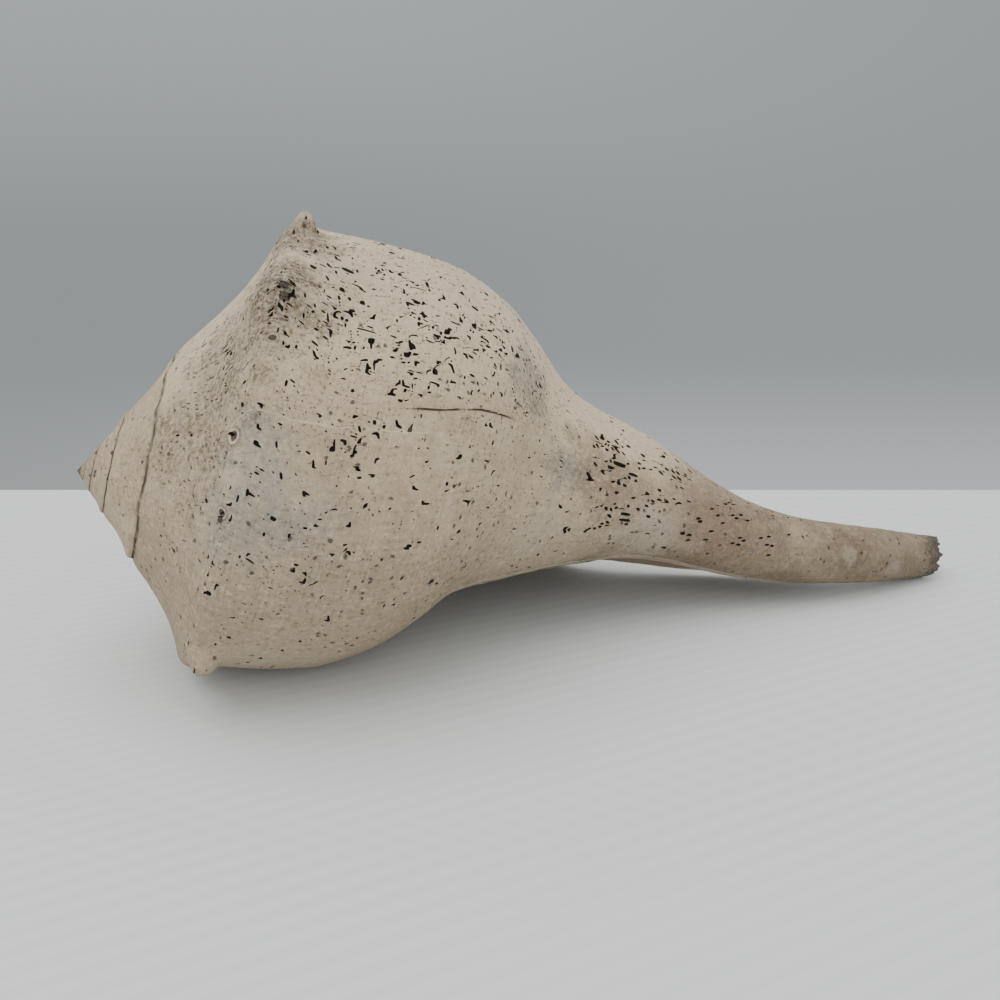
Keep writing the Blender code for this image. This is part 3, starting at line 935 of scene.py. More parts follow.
    def bore(self, borings: Borings) -> set[tuple[int, int]]:
        """Lays the faces around every boring, and lists the borings.

        Args:
            borings: where they are, and their rims.

        Returns:
            The cells that they take.
        """
        taken: set[tuple[int, int]] = set()
        knots = list(zip(*self.knots))[::-1]
        first, last = self.clear_rows
        for turn, row, count in borings.sites():
            index = int(np.searchsorted(self.rows, row))
            if not first <= index < self.last - last:
                continue
            step = self.width(index)
            column = round(float(np.interp(turn, *knots)) / step) * step
            steps = borings.shape(count)
            if step > 1:
                steps = [(2 * x + half, y) for x, y in steps for half in (0, 1)]
            cells = {(column + step * x, index + y) for x, y in steps}
            if not self.free(cells, step, taken):
                continue
            taken |= cells
            loop = [(column + step * x, index + y) for x, y in outline(steps)]
            rim = borings.rim(loop, list(cells), step)
            for number, near in enumerate(loop):
                after = (number + 1) % len(loop)
                self.faces.append([near, loop[after], rim[after], rim[number]])
            self.bored.append((rim, borings.sink(count)))
        return taken

    def places(self, keys: np.ndarray) -> tuple[np.ndarray, np.ndarray]:
        """Turns and rows of these keys, with the grid bent so that its lines don't show."""
        whorls = np.floor(keys[:, 0] / self.columns)
        within = np.interp(keys[:, 0] - whorls * self.columns, *zip(*self.knots))
        turns, rows = within + whorls * 360, np.interp(keys[:, 1], np.arange(len(self.rows)), self.rows)
        wide, high = self.scale
        across, down = turns * wide, rows * high
        # It stays straight by the seams, the shoulder, the canal and the lip.
        calm = np.interp(rows, (0.3, 0.7, 1.8, 2.0, self.seam_row, 2.6, 9.0, 9.4), (0, 1, 1, 0, 0, 1, 1, 0))
        calm *= np.interp(turns, (-152.5, -145, 198, self.coil.lip), (0, 1, 1, 0)) * self.warp
        for number, (along, over) in enumerate(self.waves):
            wave = math.tau * (across * along + down * over) + number
            turns = turns + calm * np.sin(wave) / wide
            rows = rows + calm * np.cos(wave + 2.0) / high
        moved = self.seam_move(turns) * np.interp(rows, (1.3, self.seam_row, 3.2), (0, 1, 0))
        # The column nearest to the main old lip moves onto it, and the next one close behind.
        past = (turns - self.relief.old_lips[0].turn_at(rows)) / self.lip_cell
        on_lip = (rows > self.lip_row) & (rows < self.wide_rows[0])
        turns = np.where(on_lip & (np.abs(past) < 0.5), turns - past * self.lip_cell, turns)
        turns = np.where(on_lip & (past >= 0.5) & (past < 1.5), turns - (past - 0.22) * self.lip_cell, turns)
        return turns, rows + moved

    def seam_move(self, turns: np.ndarray) -> np.ndarray:
        """How many rows the seam with the next whorl is moved at these turns."""
        return np.interp(turns, *zip(*self.seam_moves))

    def by_lip(self, column: int, index: int) -> bool:
        """Whether this cell is by the main old lip, where columns are moved onto the line."""
        turn, row = float(np.interp(column, *zip(*self.knots))), self.rows[index]
        away = abs(turn - self.relief.old_lips[0].turn_at(row))
        return bool(self.lip_row - 0.1 < row < self.wide_rows[0] + 0.1 and away < 2.2 * self.lip_cell)

    def number(self) -> tuple[dict[Key, int], list[list[int]], np.ndarray]:
        """Numbers the points of all the faces.

        Returns:
            The number of each key, each face's numbers, and the key of every face corner in turn.
        """
        numbers: dict[Key, int] = {}
        polygons, corner_keys = [], []
        for face in self.faces:
            corners = [numbers.setdefault(self.owner(key), len(numbers)) for key in face]
            kept = [n for n, corner in enumerate(corners) if corner != corners[n - 1]]
            polygons.append([corners[n] for n in kept])
            corner_keys += [face[n] for n in kept]
        return numbers, polygons, np.array(corner_keys, float)

    def join(self, turns: np.ndarray, rows: np.ndarray) -> tuple[np.ndarray, np.ndarray]:
        """Stations and rises of the points, where each whorl starts on the one before.

        Args:
            turns: turn of each point.
            rows: row of each point.

        Returns:
            The stations, and how far each point stands off the surface.
        """
        stations, moved = self.coil.profile(rows), self.seam_move(turns - 360)
        joint = self.coil.profile(self.seam_row + moved) - self.coil.profile(np.array([self.seam_row]))
        stations[:, :2] += joint[:, :2] / self.coil.growth * np.interp(rows, (0, 1), (1, 0))[:, None]
        rises = self.relief.rise(turns, rows, self.seam_row + self.seam_move(turns), self.coil)
        below = self.relief.knobs.rise(turns - 360, self.seam_row + moved, self.coil)
        return stations, rises + below * np.interp(rows, (0, 0.7), (1, 0))

    def broken_back(self, turns: np.ndarray, indices: np.ndarray) -> np.ndarray:
        """How far back along the axis the canal's end is broken, at each point."""
        angle = np.radians(turns)
        back = sum(depth * (1 + np.sin(waves * angle + phase)) for waves, depth, phase in self.teeth)
        near_end = np.clip((indices - self.last) / self.end_rows + 1, 0, 1)
        return (back + self.corner * np.maximum(-np.sin(angle), 0) ** 2) * near_end

    def describe(self, mesh: bpy.types.Mesh, turns: np.ndarray, rows: np.ndarray) -> None:
        """Stores how worn each point is, and how far it is from the lines that the finish draws."""
        rough = sum(
            high * np.exp(-(((turns - turn) / wide) ** 2) - ((rows - row) / tall) ** 2)
            for turn, row, wide, tall, high in self.roughest
        )
        size = np.minimum(self.coil.size(turns) * 1.2, 1.0)
        store(mesh, "worn", (1 + rough) * size * np.interp(rows, (11.6, 12.0), (1.0, 0.0)))
        to_seam = self.seam_row + self.seam_move(turns) - rows
        covered = (rows > 1) & (turns < self.coil.lip - 352)
        to_seam = np.where(covered, np.minimum(np.abs(to_seam), 0.5), 0.5)
        first, second = (turns - lip.turn_at(rows) for lip in self.relief.old_lips[:2])
        arch = np.clip(turns - np.interp(rows, *zip(*self.relief.arch)), -40, 40)
        store_marks(mesh, np.column_stack([first, second, np.minimum(rows, to_seam)]), arch)

    def build(self, borings: Borings) -> bpy.types.Mesh:
        """Makes the sheet and grows it on the coil.

        Args:
            borings: what is bored into it.

        Returns:
            The closed mesh, with the depth of each boring on its face.
        """
        taken = self.bore(borings)
        self.lay_slope()
        self.lay_body(taken)
        self.lay_ends()
        plain = len(self.faces)
        self.faces += [rim for rim, _ in self.bored]
        numbers, polygons, corner_keys = self.number()
        keys = np.array(list(numbers), float)
        turns, rows = self.places(keys)
        slopes = self.coil.slopes(rows)
        stations, rises = self.join(turns, rows)
        stations[:, 0] -= self.broken_back(turns, keys[:, 1])

        first_ring = (keys[:, 1] == 0) & (keys[:, 0] >= self.first) & (keys[:, 0] < self.first + self.columns)
        start = (stations[first_ring, 0] * self.coil.size(turns[first_ring])).mean() - self.apex_rise
        hubs = {END: (self.coil.length - self.end_hollow, 0.0, 0.0, 0.0), TIP: (start, 0.0, 0.0, 0.0)}
        for key, station in (hubs | {MOUTH: self.mouth}).items():
            vertex = numbers[key]
            turns[vertex], rises[vertex] = self.coil.lip, 0.0
            stations[vertex] = station
            slopes[0][vertex] = np.add(station, (0.001, 0, 0, 0))
            slopes[1][vertex] = np.subtract(station, (0.001, 0, 0, 0))

        mesh = bpy.data.meshes.new("skin")
        mesh.from_pydata(np.zeros((len(keys), 3)).tolist(), [], polygons)
        depths = np.zeros(len(polygons))
        depths[plain:] = [depth for _, depth in self.bored]
        store(mesh, "boring", depths, "FACE")
        self.describe(mesh, turns, rows)
        store_places(mesh, *self.places(corner_keys))
        log.info("skin: %d borings, %d faces", len(self.bored), len(polygons))
        return self.coil.wrap(mesh, turns, stations, rises, slopes)


@dataclass(frozen=True)
class Spine:
    """A blunt spine of the shoulder, that the surface rises into."""

    turn: float
    row: float
    length: float
    half_width: float
    lean: float

    def grow(self, mesh: bpy.types.Mesh, coil: Coil, tree: bpy.types.NodeTree) -> bpy.types.Mesh:
        """Pulls the surface about the spine's foot out along the spine.

        Args:
            mesh: the shell's outside.
            coil: where the foot is found.
            tree: the tree from spine_tree().

        Returns:
            The mesh with the spine on it.
        """
        foot = coil.points([self.turn], [self.row], [0.0])[0]
        about, lean = math.radians(90 - self.turn), math.radians(self.lean)
        leaning = Matrix.Rotation(about, 4, "X") @ Matrix.Rotation(lean, 4, "Y")
        axis = coil.rotation() @ leaning @ Vector((0, 0, 1))
        values = {"Foot": tuple(foot), "Axis": tuple(axis)}
        values |= {"Length": self.length, "Half Width": self.half_width}
        return run_tree(mesh, tree, values)


def spine_tree() -> bpy.types.NodeTree:
    """A tree that pulls the points near a foot out along an axis."""
    inputs: dict[str, object] = {"Foot": (0.0, 0.0, 0.0), "Axis": (0.0, 0.0, 1.0), "Length": 0.006}
    inputs |= {"Half Width": 0.004, "Steepness": 4.0, "Wobble": 0.5}
    t, given = new_group("spine", inputs)
    place = t.get("GeometryNodeInputPosition")
    offset = t.vector("SUBTRACT", place, given["Foot"])
    along = t.vector("DOT_PRODUCT", offset, given["Axis"], output="Value")
    aside = t.vector("LENGTH", t.vector("SUBTRACT", offset, t.scaled(given["Axis"], along)), output="Value")
    uneven = 1.0 + (t.noise(place, 160.0) - 0.5) * given["Wobble"]
    share = 1.0 / (1.0 + (aside * uneven / given["Half Width"]) ** given["Steepness"])
    # The far side of the shell, well below the foot, stays where it is.
    near = t.ramp(along, -0.014, -0.007)
    pull = t.scaled(given["Axis"], given["Length"] * share * near)
    return t.finish(t.change("SetPosition", given["Geometry"], Offset=pull))


@dataclass(frozen=True)
class Weathering:
    """Uneven wear of the surface, and the sinking of its borings."""

    coarse: float = 0.00045
    fine: float = 0.00021
    taper: tuple[float, float] = (0.88, 1.0)  # a boring's floor, as a share of its rim
    seed: int = 3

    def wear_tree(self) -> bpy.types.NodeTree:
        """A tree that roughens the surface along its normals."""
        t, given = new_group("wear", {"Coarse": 0.0, "Fine": 0.0, "Shell": MATERIAL_SOCKET})
        place = t.get("GeometryNodeInputPosition")
        height = (t.noise(place, 75.0, 2.0) - 0.5) * given["Coarse"] * 2.0
        height = height + (t.noise(place, 420.0, 3.0) - 0.5) * given["Fine"] * 2.0
        offset = t.scaled(t.get("GeometryNodeInputNormal"), height * t.stored("worn"))
        rough = t.change("SetPosition", given["Geometry"], Offset=offset)
        realized = t.change("RealizeInstances", rough)
        return t.finish(t.change("SetMaterial", realized, Material=given["Shell"]))

    def boring_tree(self) -> bpy.types.NodeTree:
        """A tree that sinks every face with a boring's depth, and narrows it."""
        inputs = {"Least Taper": 0.5, "Most Taper": 1.0, "Seed": 0, "Boring": MATERIAL_SOCKET}
        t, given = new_group("borings", inputs)
        depth = t.stored("boring")
        bored = t.get("FunctionNodeCompare", {0: depth, 1: 0.0}, operation="GREATER_THAN")
        sunk = t.node(
            "GeometryNodeExtrudeMesh",
            {"Mesh": given["Geometry"], "Selection": bored, "Offset Scale": depth * -1.0, "Individual": True},
        )
        body, top, side = (Signal(t, sunk.outputs[name]) for name in ("Mesh", "Top", "Side"))
        # The two ends of a random float are the node's third and fourth inputs.
        ends = {2: given["Least Taper"], 3: given["Most Taper"], "Seed": given["Seed"]}
        taper = t.get("FunctionNodeRandomValue", ends, 1, data_type="FLOAT")
        narrowed = t.change("ScaleElements", body, Selection=top, Scale=taper)
        realized = t.change("RealizeInstances", narrowed)
        inside = t.get("FunctionNodeBooleanMath", {0: top, 1: side}, operation="OR")
        return t.finish(t.change("SetMaterial", realized, Selection=inside, Material=given["Boring"]))

    def wear(self, mesh: bpy.types.Mesh, shell: bpy.types.Material) -> bpy.types.Mesh:
        """Roughens the shell's outside and gives it its material."""
        return run_tree(mesh, self.wear_tree(), {"Coarse": self.coarse, "Fine": self.fine, "Shell": shell})

    def bore(self, mesh: bpy.types.Mesh, boring: bpy.types.Material) -> bpy.types.Mesh:
        """Sinks the borings and gives them their material."""
        low, high = self.taper
        values = {"Least Taper": low, "Most Taper": high, "Seed": self.seed, "Boring": boring}
        return run_tree(mesh, self.boring_tree(), values)


# What is cut out of the shell


def ring_form(name: str, rings: np.ndarray, material: bpy.types.Material) -> bpy.types.Object:
    """Closed form through rings of points, with its ends covered.

    Args:
        name: the object's name.
        rings: points by ring, by place on the ring, by axis.
        material: the material of all its faces.

    Returns:
        The object.
    """
    count, sides = rings.shape[:2]
    faces = []
    for ring in range(count - 1):
        for side in range(sides):
            after = (side + 1) % sides
            a, b = ring * sides, (ring + 1) * sides
            faces.append((a + side, b + side, b + after, a + after))
    faces.append(tuple(range(sides)))
    faces.append(tuple(range(count * sides - 1, (count - 1) * sides - 1, -1)))
    mesh = bpy.data.meshes.new(name)
    mesh.from_pydata(rings.reshape(-1, 3).tolist(), [], faces)
    mesh.materials.append(material)
    corners = np.array([corner for face in faces for corner in face])
    store_places(mesh, corners // sides * 10.0, corners % sides / sides)
    # The faces that a form leaves in the shell are far from every line of the finish.
    store_marks(mesh, np.full((count * sides, 3), (60.0, 60.0, 0.5)), np.full(count * sides, 40.0))
    body = bmesh.new()
    body.from_mesh(mesh)
    body.faces.ensure_lookup_table()
    bmesh.ops.triangulate(body, faces=body.faces[-2:])
    bmesh.ops.recalc_face_normals(body, faces=body.faces)
    body.to_mesh(mesh)
    body.free()
    return new_object(mesh)


@dataclass(frozen=True)
class Hollow:
    """The coiled hollow that the animal lived in, and the open gutter of its canal."""

    coil: Coil
    wall: float = 0.0034
    lining: float = 0.0013
    past_lip: float = 10.0
    depth: float = 430.0
    step: float = 4.0
    # first row, last row and how many
    outer_rows: tuple[tuple[float, float, int], ...] = ((0.55, 1.85, 8), (2.4, 9.0, 28))
    inner_rows: tuple[float, float, int] = (9.0, 2.3, 22)
    gutter: tuple[Vector3, ...] = (  # along, radius, half width
        (0.150, 0.0150, 0.0042),
        (0.175, 0.0115, 0.0040),
        (0.198, 0.0070, 0.0036),
        (0.215, 0.0030, 0.0031),
        (0.232, 0.0010, 0.0028),
        (0.262, 0.0008, 0.0027),
    )
    gutter_angle: float = 235.0
    gutter_opening: float = 262.0
    gutter_reach: float = 0.022
    arc_steps: int = 14
    gutter_steps: int = 40
    block: float = 0.2  # half the side of the ground block

    def chamber(self, material: bpy.types.Material) -> bpy.types.Object:
        """The hollow as a closed form."""
        outer = np.concatenate([np.linspace(*span) for span in self.outer_rows])
        inner = np.linspace(*self.inner_rows)
        turns = np.arange(self.coil.lip + self.past_lip, self.coil.lip - self.depth, -self.step)
        count = len(outer) + len(inner)
        places = np.concatenate(
            [np.column_stack([np.full(count, turn), np.concatenate([outer, inner])]) for turn in turns]
        )
        within = np.tile(np.arange(count) < len(outer), len(turns))
        walls = -self.wall * self.coil.size(places[:, 0]) ** 0.6
        grown_at = np.where(within, places[:, 0], places[:, 0] - 360)
        rings = self.coil.points(grown_at, places[:, 1], np.where(within, walls, self.lining))
        return ring_form("chamber", rings.reshape(len(turns), count, 3), material)

    def canal_gutter(self, material: bpy.types.Material) -> bpy.types.Object:
        """The gutter as a closed form that opens downwards."""
        table = np.array(self.gutter)
        at = np.linspace(0, len(table) - 1, self.gutter_steps)
        along, radius, half = (smooth_curve(table[:, column], at) for column in range(3))
        flat = np.zeros(len(at))
        stations = np.column_stack([along, radius, flat, flat])
        ahead, behind = stations + (0.001, 0, 0, 0), stations - (0.001, 0, 0, 0)
        turns = np.full(len(at), self.gutter_angle)
        middles = self.coil.station_points(turns, stations, flat, (ahead, behind))
        side = math.radians(self.gutter_opening)
        turned = np.array(self.coil.rotation().to_3x3())
        opening = turned @ (0, -math.cos(side), math.sin(side))
        across = turned @ (0, -math.sin(side), -math.cos(side))
        rings = []
        for middle, width in zip(middles, half):
            arc = np.linspace(0, math.pi, self.arc_steps + 1)[:, None]
            ring = middle + width * (np.cos(arc) * across - np.sin(arc) * opening)
            down = opening * self.gutter_reach
            rings.append([*ring, ring[-1] + down, ring[0] + down])
        return ring_form("gutter", np.array(rings), material)

    def ground(self, material: bpy.types.Material) -> bpy.types.Object:
        """The ground that has worn the knobs flat, as a block under it."""
        corners = ((-1, -1), (1, -1), (1, 1), (-1, 1))
        rings = np.array([[(x, y, z) for x, y in corners] for z in (-0.1, 0.0)])
        return ring_form("ground", rings * (self.block,) * 3, material)


def cut(mesh: bpy.types.Mesh, cutters: list[bpy.types.Object], name: str) -> bpy.types.Mesh:
    """Takes forms out of a mesh.

    Args:
        mesh: what is cut.
        cutters: the forms, in the order of the cuts. They are removed.
        name: name of the result.

    Returns:
        The cut mesh.
    """
    source = new_object(mesh)
    for cutter in cutters:
        modifier = source.modifiers.new(cutter.name, "BOOLEAN")
        modifier.operation = "DIFFERENCE"
        modifier.solver = "EXACT"
        modifier.material_mode = "TRANSFER"
        modifier.object = cutter
    made = evaluated_mesh(source, name)
    discard(source, *cutters)
    return made


# Finishes


def srgb(red: float, green: float, blue: float) -> tuple[float, float, float, float]:
    """A colour given from 0 to 255 as seen on a screen, as the renderer takes it."""
    parts = [value / 255 for value in (red, green, blue)]
    return (*(part / 12.92 if part < 0.04045 else ((part + 0.055) / 1.055) ** 2.4 for part in parts), 1.0)


class Effect(Enum):
    """Shader effects that several finishes share."""

    GROWTH = "growth lines"
    STAIN = "stain"
    SPECKS = "specks"

    def add(self, tree: Tree, inputs: Inputs) -> Signal:
        """Puts the effect's node group into a material. The first use of an effect makes its group."""
        makers = {Effect.GROWTH: growth_group, Effect.STAIN: stain_group, Effect.SPECKS: specks_group}
        group = bpy.data.node_groups.get(self.value) or makers[self]()
        made = tree.node("ShaderNodeGroup", node_tree=group)
        for name, value in inputs.items():
            tree.feed(made.inputs[name], value)
        return Signal(tree, made.outputs[0])


def growth_group() -> bpy.types.NodeTree:
    """Height of lines of growth across the whorl and fine spiral lines along it."""
    t, given = new_group(Effect.GROWTH.value, {"Coil": (0.0, 0.0, 0.0), "Place": (0.0, 0.0, 0.0)}, "Height")
    turn, row, _ = t.split(given["Coil"])
    sway = (t.noise(given["Place"], 26.0, 2.0) - 0.5) * 0.012
    across = t.noise(t.combine((turn + sway) * 330.0, row * 1.6, 0.0), 1.0, 4.0, 0.6)
    along = t.noise(t.combine(turn * 9.0, row * 26.0, 3.0), 1.0, 3.0, 0.6)
    crossing = t.ramp(t.noise(given["Place"], 34.0, 1.0), 0.42, 0.62)
    return t.finish((across - 0.5) * (0.6 + 0.4 * crossing) + (along - 0.5) * (0.3 + 0.5 * crossing))


def stain_group() -> bpy.types.NodeTree:
    """Mask of a ragged stain: 1 inside its reach and 0 outside."""
    inputs = {"Place": (0.0, 0.0, 0.0), "Centre": (0.0, 0.0, 0.0), "Reach": 0.01}
    t, given = new_group(Effect.STAIN.value, inputs | {"Uneven": 0.5, "Ragged": 0.5}, "Mask")
    away = t.vector("DISTANCE", given["Place"], given["Centre"], output="Value") / given["Reach"]
    edge = away + (given["Uneven"] - 0.5) * given["Ragged"] * 3.2
    return t.finish(t.ramp(edge, 1.25, 0.35))


def specks_group() -> bpy.types.NodeTree:
    """Mask of small scattered specks."""
    inputs = {"Place": (0.0, 0.0, 0.0), "Scale": 400.0, "Amount": 0.5, "Patchiness": 60.0}
    t, given = new_group(Effect.SPECKS.value, inputs, "Mask")
    sway = t.get("ShaderNodeTexNoise", {0: given["Place"], "Scale": 900.0}, 1)
    bent = t.vector("ADD", given["Place"], t.scaled(sway, 0.0012))
    cells = t.node("ShaderNodeTexVoronoi", {"Vector": bent, "Scale": given["Scale"]})
    chance = t.split(Signal(t, cells.outputs["Color"]))[0]
    patches = {"Vector": given["Place"], "Scale": given["Patchiness"], "Detail": 2.0}
    crowded = t.ramp(t.get("ShaderNodeTexNoise", patches), 0.38, 0.66)
    chosen = t.math("LESS_THAN", chance, given["Amount"] * crowded)
    return t.finish(chosen * t.ramp(Signal(t, cells.outputs["Distance"]), 0.36, 0.2))


@dataclass(frozen=True)
class Stain:
    """A stain of the surface about one place. Some of the stains are patches of painted light."""

    turn: float
    row: float
    reach: float
    colour: Colour = (0, 0, 0)
    strength: float = 1.0
    ragged: float = 0.5


@dataclass(frozen=True)
class Surface:
    """What a finish is told about each place of the shell."""

    tree: Tree
    place: Signal
    coiled: Signal
    turn: Signal  # in whorls
    row: Signal
    first: Signal  # degrees to the main old lip
    second: Signal  # degrees to the second one
    to_seam: Signal  # rows
    arch: Signal  # degrees to the flaking edge under the neck
    uneven: Signal
    grain: Signal
    web: Signal

    @classmethod
    def of(cls, t: Tree) -> "Surface":
        """Reads all of it in a material's tree."""
        place = t.get("ShaderNodeTexCoord", output="Object")
        coiled = t.get("ShaderNodeUVMap", uv_map=MAP)
        turn, row, _ = t.split(coiled)
        marks = t.split(t.get("ShaderNodeAttribute", output="Vector", attribute_name="marks"))
        uneven, grain = t.noise(place, 130.0, 5.0, 0.65), t.noise(place, 780.0, 5.0, 0.78)
        web = (uneven - 0.5) * 0.5
        arch = t.get("ShaderNodeAttribute", output="Fac", attribute_name="arch") + web * 7.0
        return cls(t, place, coiled, turn, row, *marks, arch, uneven, grain, web)


class Coat:
    """A colour that is laid on in layers."""

    def __init__(self, tree: Tree, colour: Signal) -> None:
        """Starts with one colour everywhere."""
        self.tree = tree
        self.colour = colour

    def lay(self, share: Signal, colour: Colour) -> None:
        """Lays a colour over it: all of it where `share` is 1, and none where it is 0."""
        self.colour = self.tree.mix(share, self.colour, srgb(*colour))


@dataclass(frozen=True)
class Chalk:
    """Bleached, worn shell."""

    coil: Coil
    base: Colour = (187, 167, 137)
    light: Colour = (203, 185, 156)
    # Top: painted light, the paler colour of the shell's lit top and back.
    top: Colour = (222, 203, 171)
    # Dull: uneven dull patches, and painted shade on the lower front and underside.
    dull: Colour = (153, 136, 112)
    canal: Colour = (146, 129, 106)
    # Crack: fine cracks, and the dirt and painted shade of the notch, the seam, ring holes and flake gaps.
    crack: Colour = (66, 53, 39)
    speck: Colour = (58, 52, 46)
    # Ridge: pale raised grain, and the painted highlights along the edges of old lips and flakes.
    ridge: Colour = (222, 207, 182)
    dirt: Colour = (106, 88, 64)
    end: Colour = (64, 58, 50)
    roughness: float = 0.9
    bump: float = 0.0012
    stains: tuple[Stain, ...] = (
        Stain(42.5, 7.6, 0.012, (140, 119, 97), 0.65, 0.8),
        Stain(33.0, 8.1, 0.010, (138, 117, 96), 0.55, 0.8),
        Stain(19.0, 9.3, 0.018, (140, 117, 96), 0.5, 0.8),
        Stain(7.0, 8.95, 0.010, (184, 172, 154), 0.5, 0.9),
        Stain(36.5, 10.0, 0.006, (176, 158, 130), 0.6, 1.0),
        Stain(12.5, 10.4, 0.0032, (180, 168, 147), 0.55, 1.0),
        Stain(25.0, 9.1, 0.010, (140, 116, 94), 0.45, 0.9),
        # Painted light: a pale patch that lightens the lower front under the neck.
        Stain(-14.0, 8.8, 0.014, (200, 186, 164), 0.5, 0.8),
        Stain(-8.0, 10.9, 0.003, (178, 166, 146), 0.5, 1.0),
        Stain(20.0, 2.2, 0.009, (154, 152, 147), 0.5, 1.0),
        Stain(4.0, 2.15, 0.012, (155, 152, 145), 0.45, 1.0),
        Stain(13.0, 2.9, 0.009, (160, 155, 147), 0.35, 1.0),
        Stain(36.5, 7.3, 0.007, (126, 128, 124), 0.45, 0.9),
        Stain(63.0, 5.9, 0.010, (146, 143, 128), 0.45, 1.0),
        Stain(56.0, 2.1, 0.010, (128, 116, 97), 0.55, 0.9),
        Stain(84.0, 2.1, 0.008, (120, 104, 84), 0.5, 0.9),
        Stain(70.0, 2.6, 0.016, (150, 136, 115), 0.3, 0.9),
        Stain(-45.0, 3.2, 0.020, (204, 190, 166), 0.5, 0.8),
        # Painted light: a pale patch that lightens the lower front of the body.
        Stain(-10.0, 7.5, 0.016, (196, 182, 160), 0.4, 0.8),
    )
    hatched: Stain = Stain(45.0, 2.9, 0.026, ragged=0.6)
    rings: tuple[tuple[float, float, float, float], ...] = (  # turn, row, radius and strength of the pale rim
        (23.5, 1.84, 0.00155, 0.9),
        (6.5, 1.92, 0.0010, 0.4),
        (45.5, 2.08, 0.0011, 0.3),
        (55.5, 2.12, 0.0014, 0.1),
    )
    rough: tuple[Stain, ...] = (
        Stain(60.0, 1.7, 0.017, ragged=0.8),
        Stain(48.0, 1.3, 0.018, ragged=0.8),
        Stain(80.0, 2.2, 0.009, ragged=0.8),
        Stain(46.0, 2.1, 0.008, ragged=0.8),
        Stain(60.0, 6.2, 0.011, strength=0.4, ragged=0.9),
        Stain(30.0, 0.9, 0.017, strength=0.6, ragged=0.9),
    )
    specks: tuple[Vector3, ...] = ((620.0, 0.22, 70.0), (1300.0, 0.20, 40.0))  # scale, amount and patchiness

    def mask(self, s: Surface, stain: Stain) -> Signal:
        """Where a stain is, times its strength."""
        centre = tuple(self.coil.points([stain.turn], [stain.row], [0.0])[0])
        inputs = {"Place": s.place, "Centre": centre, "Reach": stain.reach, "Uneven": s.uneven}
        return Effect.STAIN.add(s.tree, inputs | {"Ragged": stain.ragged}) * stain.strength

    def ring(self, s: Surface, turn: float, row: float, radius: float) -> tuple[Signal, Signal]:
        """Rim and hole of a worn ring."""
        t, at = s.tree, (np.array([turn]), np.array([row]))
        rise = Relief().rise(*at, at[1] + 1, self.coil)
        centre = tuple(self.coil.points(*at, rise)[0])
        away = t.vector("DISTANCE", s.place, centre, output="Value") / radius + (s.uneven - 0.5) * 0.9
        hole = t.most(t.ramp(away, 0.95, 0.70), t.line(away - 1.45, 0.20, 0.05) * 0.4)
        return t.line(away - 1.1, 0.26, 0.10), hole

    def ground(self, s: Surface) -> Coat:
        """Uneven pale shell with its stains: paler at the top and the back, which is painted light from
        above, duller at the lower front and underside, which is painted shade, and duller on the canal.
        """
        t = s.tree
        coat = Coat(t, t.mix(t.ramp(s.uneven, 0.32, 0.70), srgb(*self.base), srgb(*self.light)))
        coat.lay(t.ramp(t.noise(s.place, 21.0, 3.0, 0.5), 0.52, 0.80) * 0.55, self.dull)
        # Painted light: the top and the back are made paler, as the light from above makes them.
        coat.lay(t.ramp(s.turn, 0.09, 0.18) * 0.75, self.top)
        # Painted shade: the lower front and the underside are made duller.
        coat.lay(t.ramp(s.turn, 0.07, -0.06) * t.ramp(s.turn, -0.5, -0.3) * 0.5, self.dull)
        coat.lay(t.ramp(s.row, 7.6, 9.6) * t.ramp(s.uneven, 0.25, 0.6, 0.55, 1.0), self.canal)
        mottled = t.ramp(t.noise(s.place, 80.0, 5.0, 0.68), 0.46, 0.60) * t.ramp(s.row, 7.4, 8.8)
        coat.lay(mottled * 0.42, self.dirt)
        for stain in self.stains:
            coat.lay(self.mask(s, stain), stain.colour)
        return coat

    def hatching(self, s: Surface) -> Signal:
        """Broken fine cracks across the whorl and along it, on one patch."""
        t = s.tree
        crossing = t.stripes(s.turn * 240.0 + s.web * 9.0, 0.09, 0.0)
        spiral = t.stripes(s.row * 14.0 + s.web * 5.0, 0.09, 0.0)
        broken = t.ramp(s.grain, 0.48, 0.56) * t.ramp(t.noise(s.place, 240.0, 2.0), 0.46, 0.56)
        return t.most(crossing, spiral) * self.mask(s, self.hatched) * broken

    def under_neck(self, s: Surface) -> Signal:
        """The rows that the flaking edge runs through."""
        return s.tree.ramp(s.row, 6.3, 6.9) * s.tree.ramp(s.row, 10.6, 9.8)

    def pale_lines(self, s: Surface, rims: list[Signal]) -> Signal:
        """Edges of the old lips, flakes under the neck and rims of rings. The pale edges of the old lips and
        of the flakes are painted highlights, where raised edges catch the light.
        """
        t = s.tree
        edge = t.line(s.first + s.web * 0.5, 0.30, 0.05) * t.ramp(s.row, 7.6, 6.8)
        thin = t.line(s.second + s.web * 6.0, 0.42, 0.08) * t.ramp(s.row, 4.6, 3.8) * t.ramp(s.row, 1.2, 1.6)
        flake = t.ramp(s.arch, 0.8, -1.2) * t.ramp(s.arch, -22.0, -18.0) * self.under_neck(s)
        return t.most(edge * 0.75, thin * 0.6, flake * 0.6, *rims)

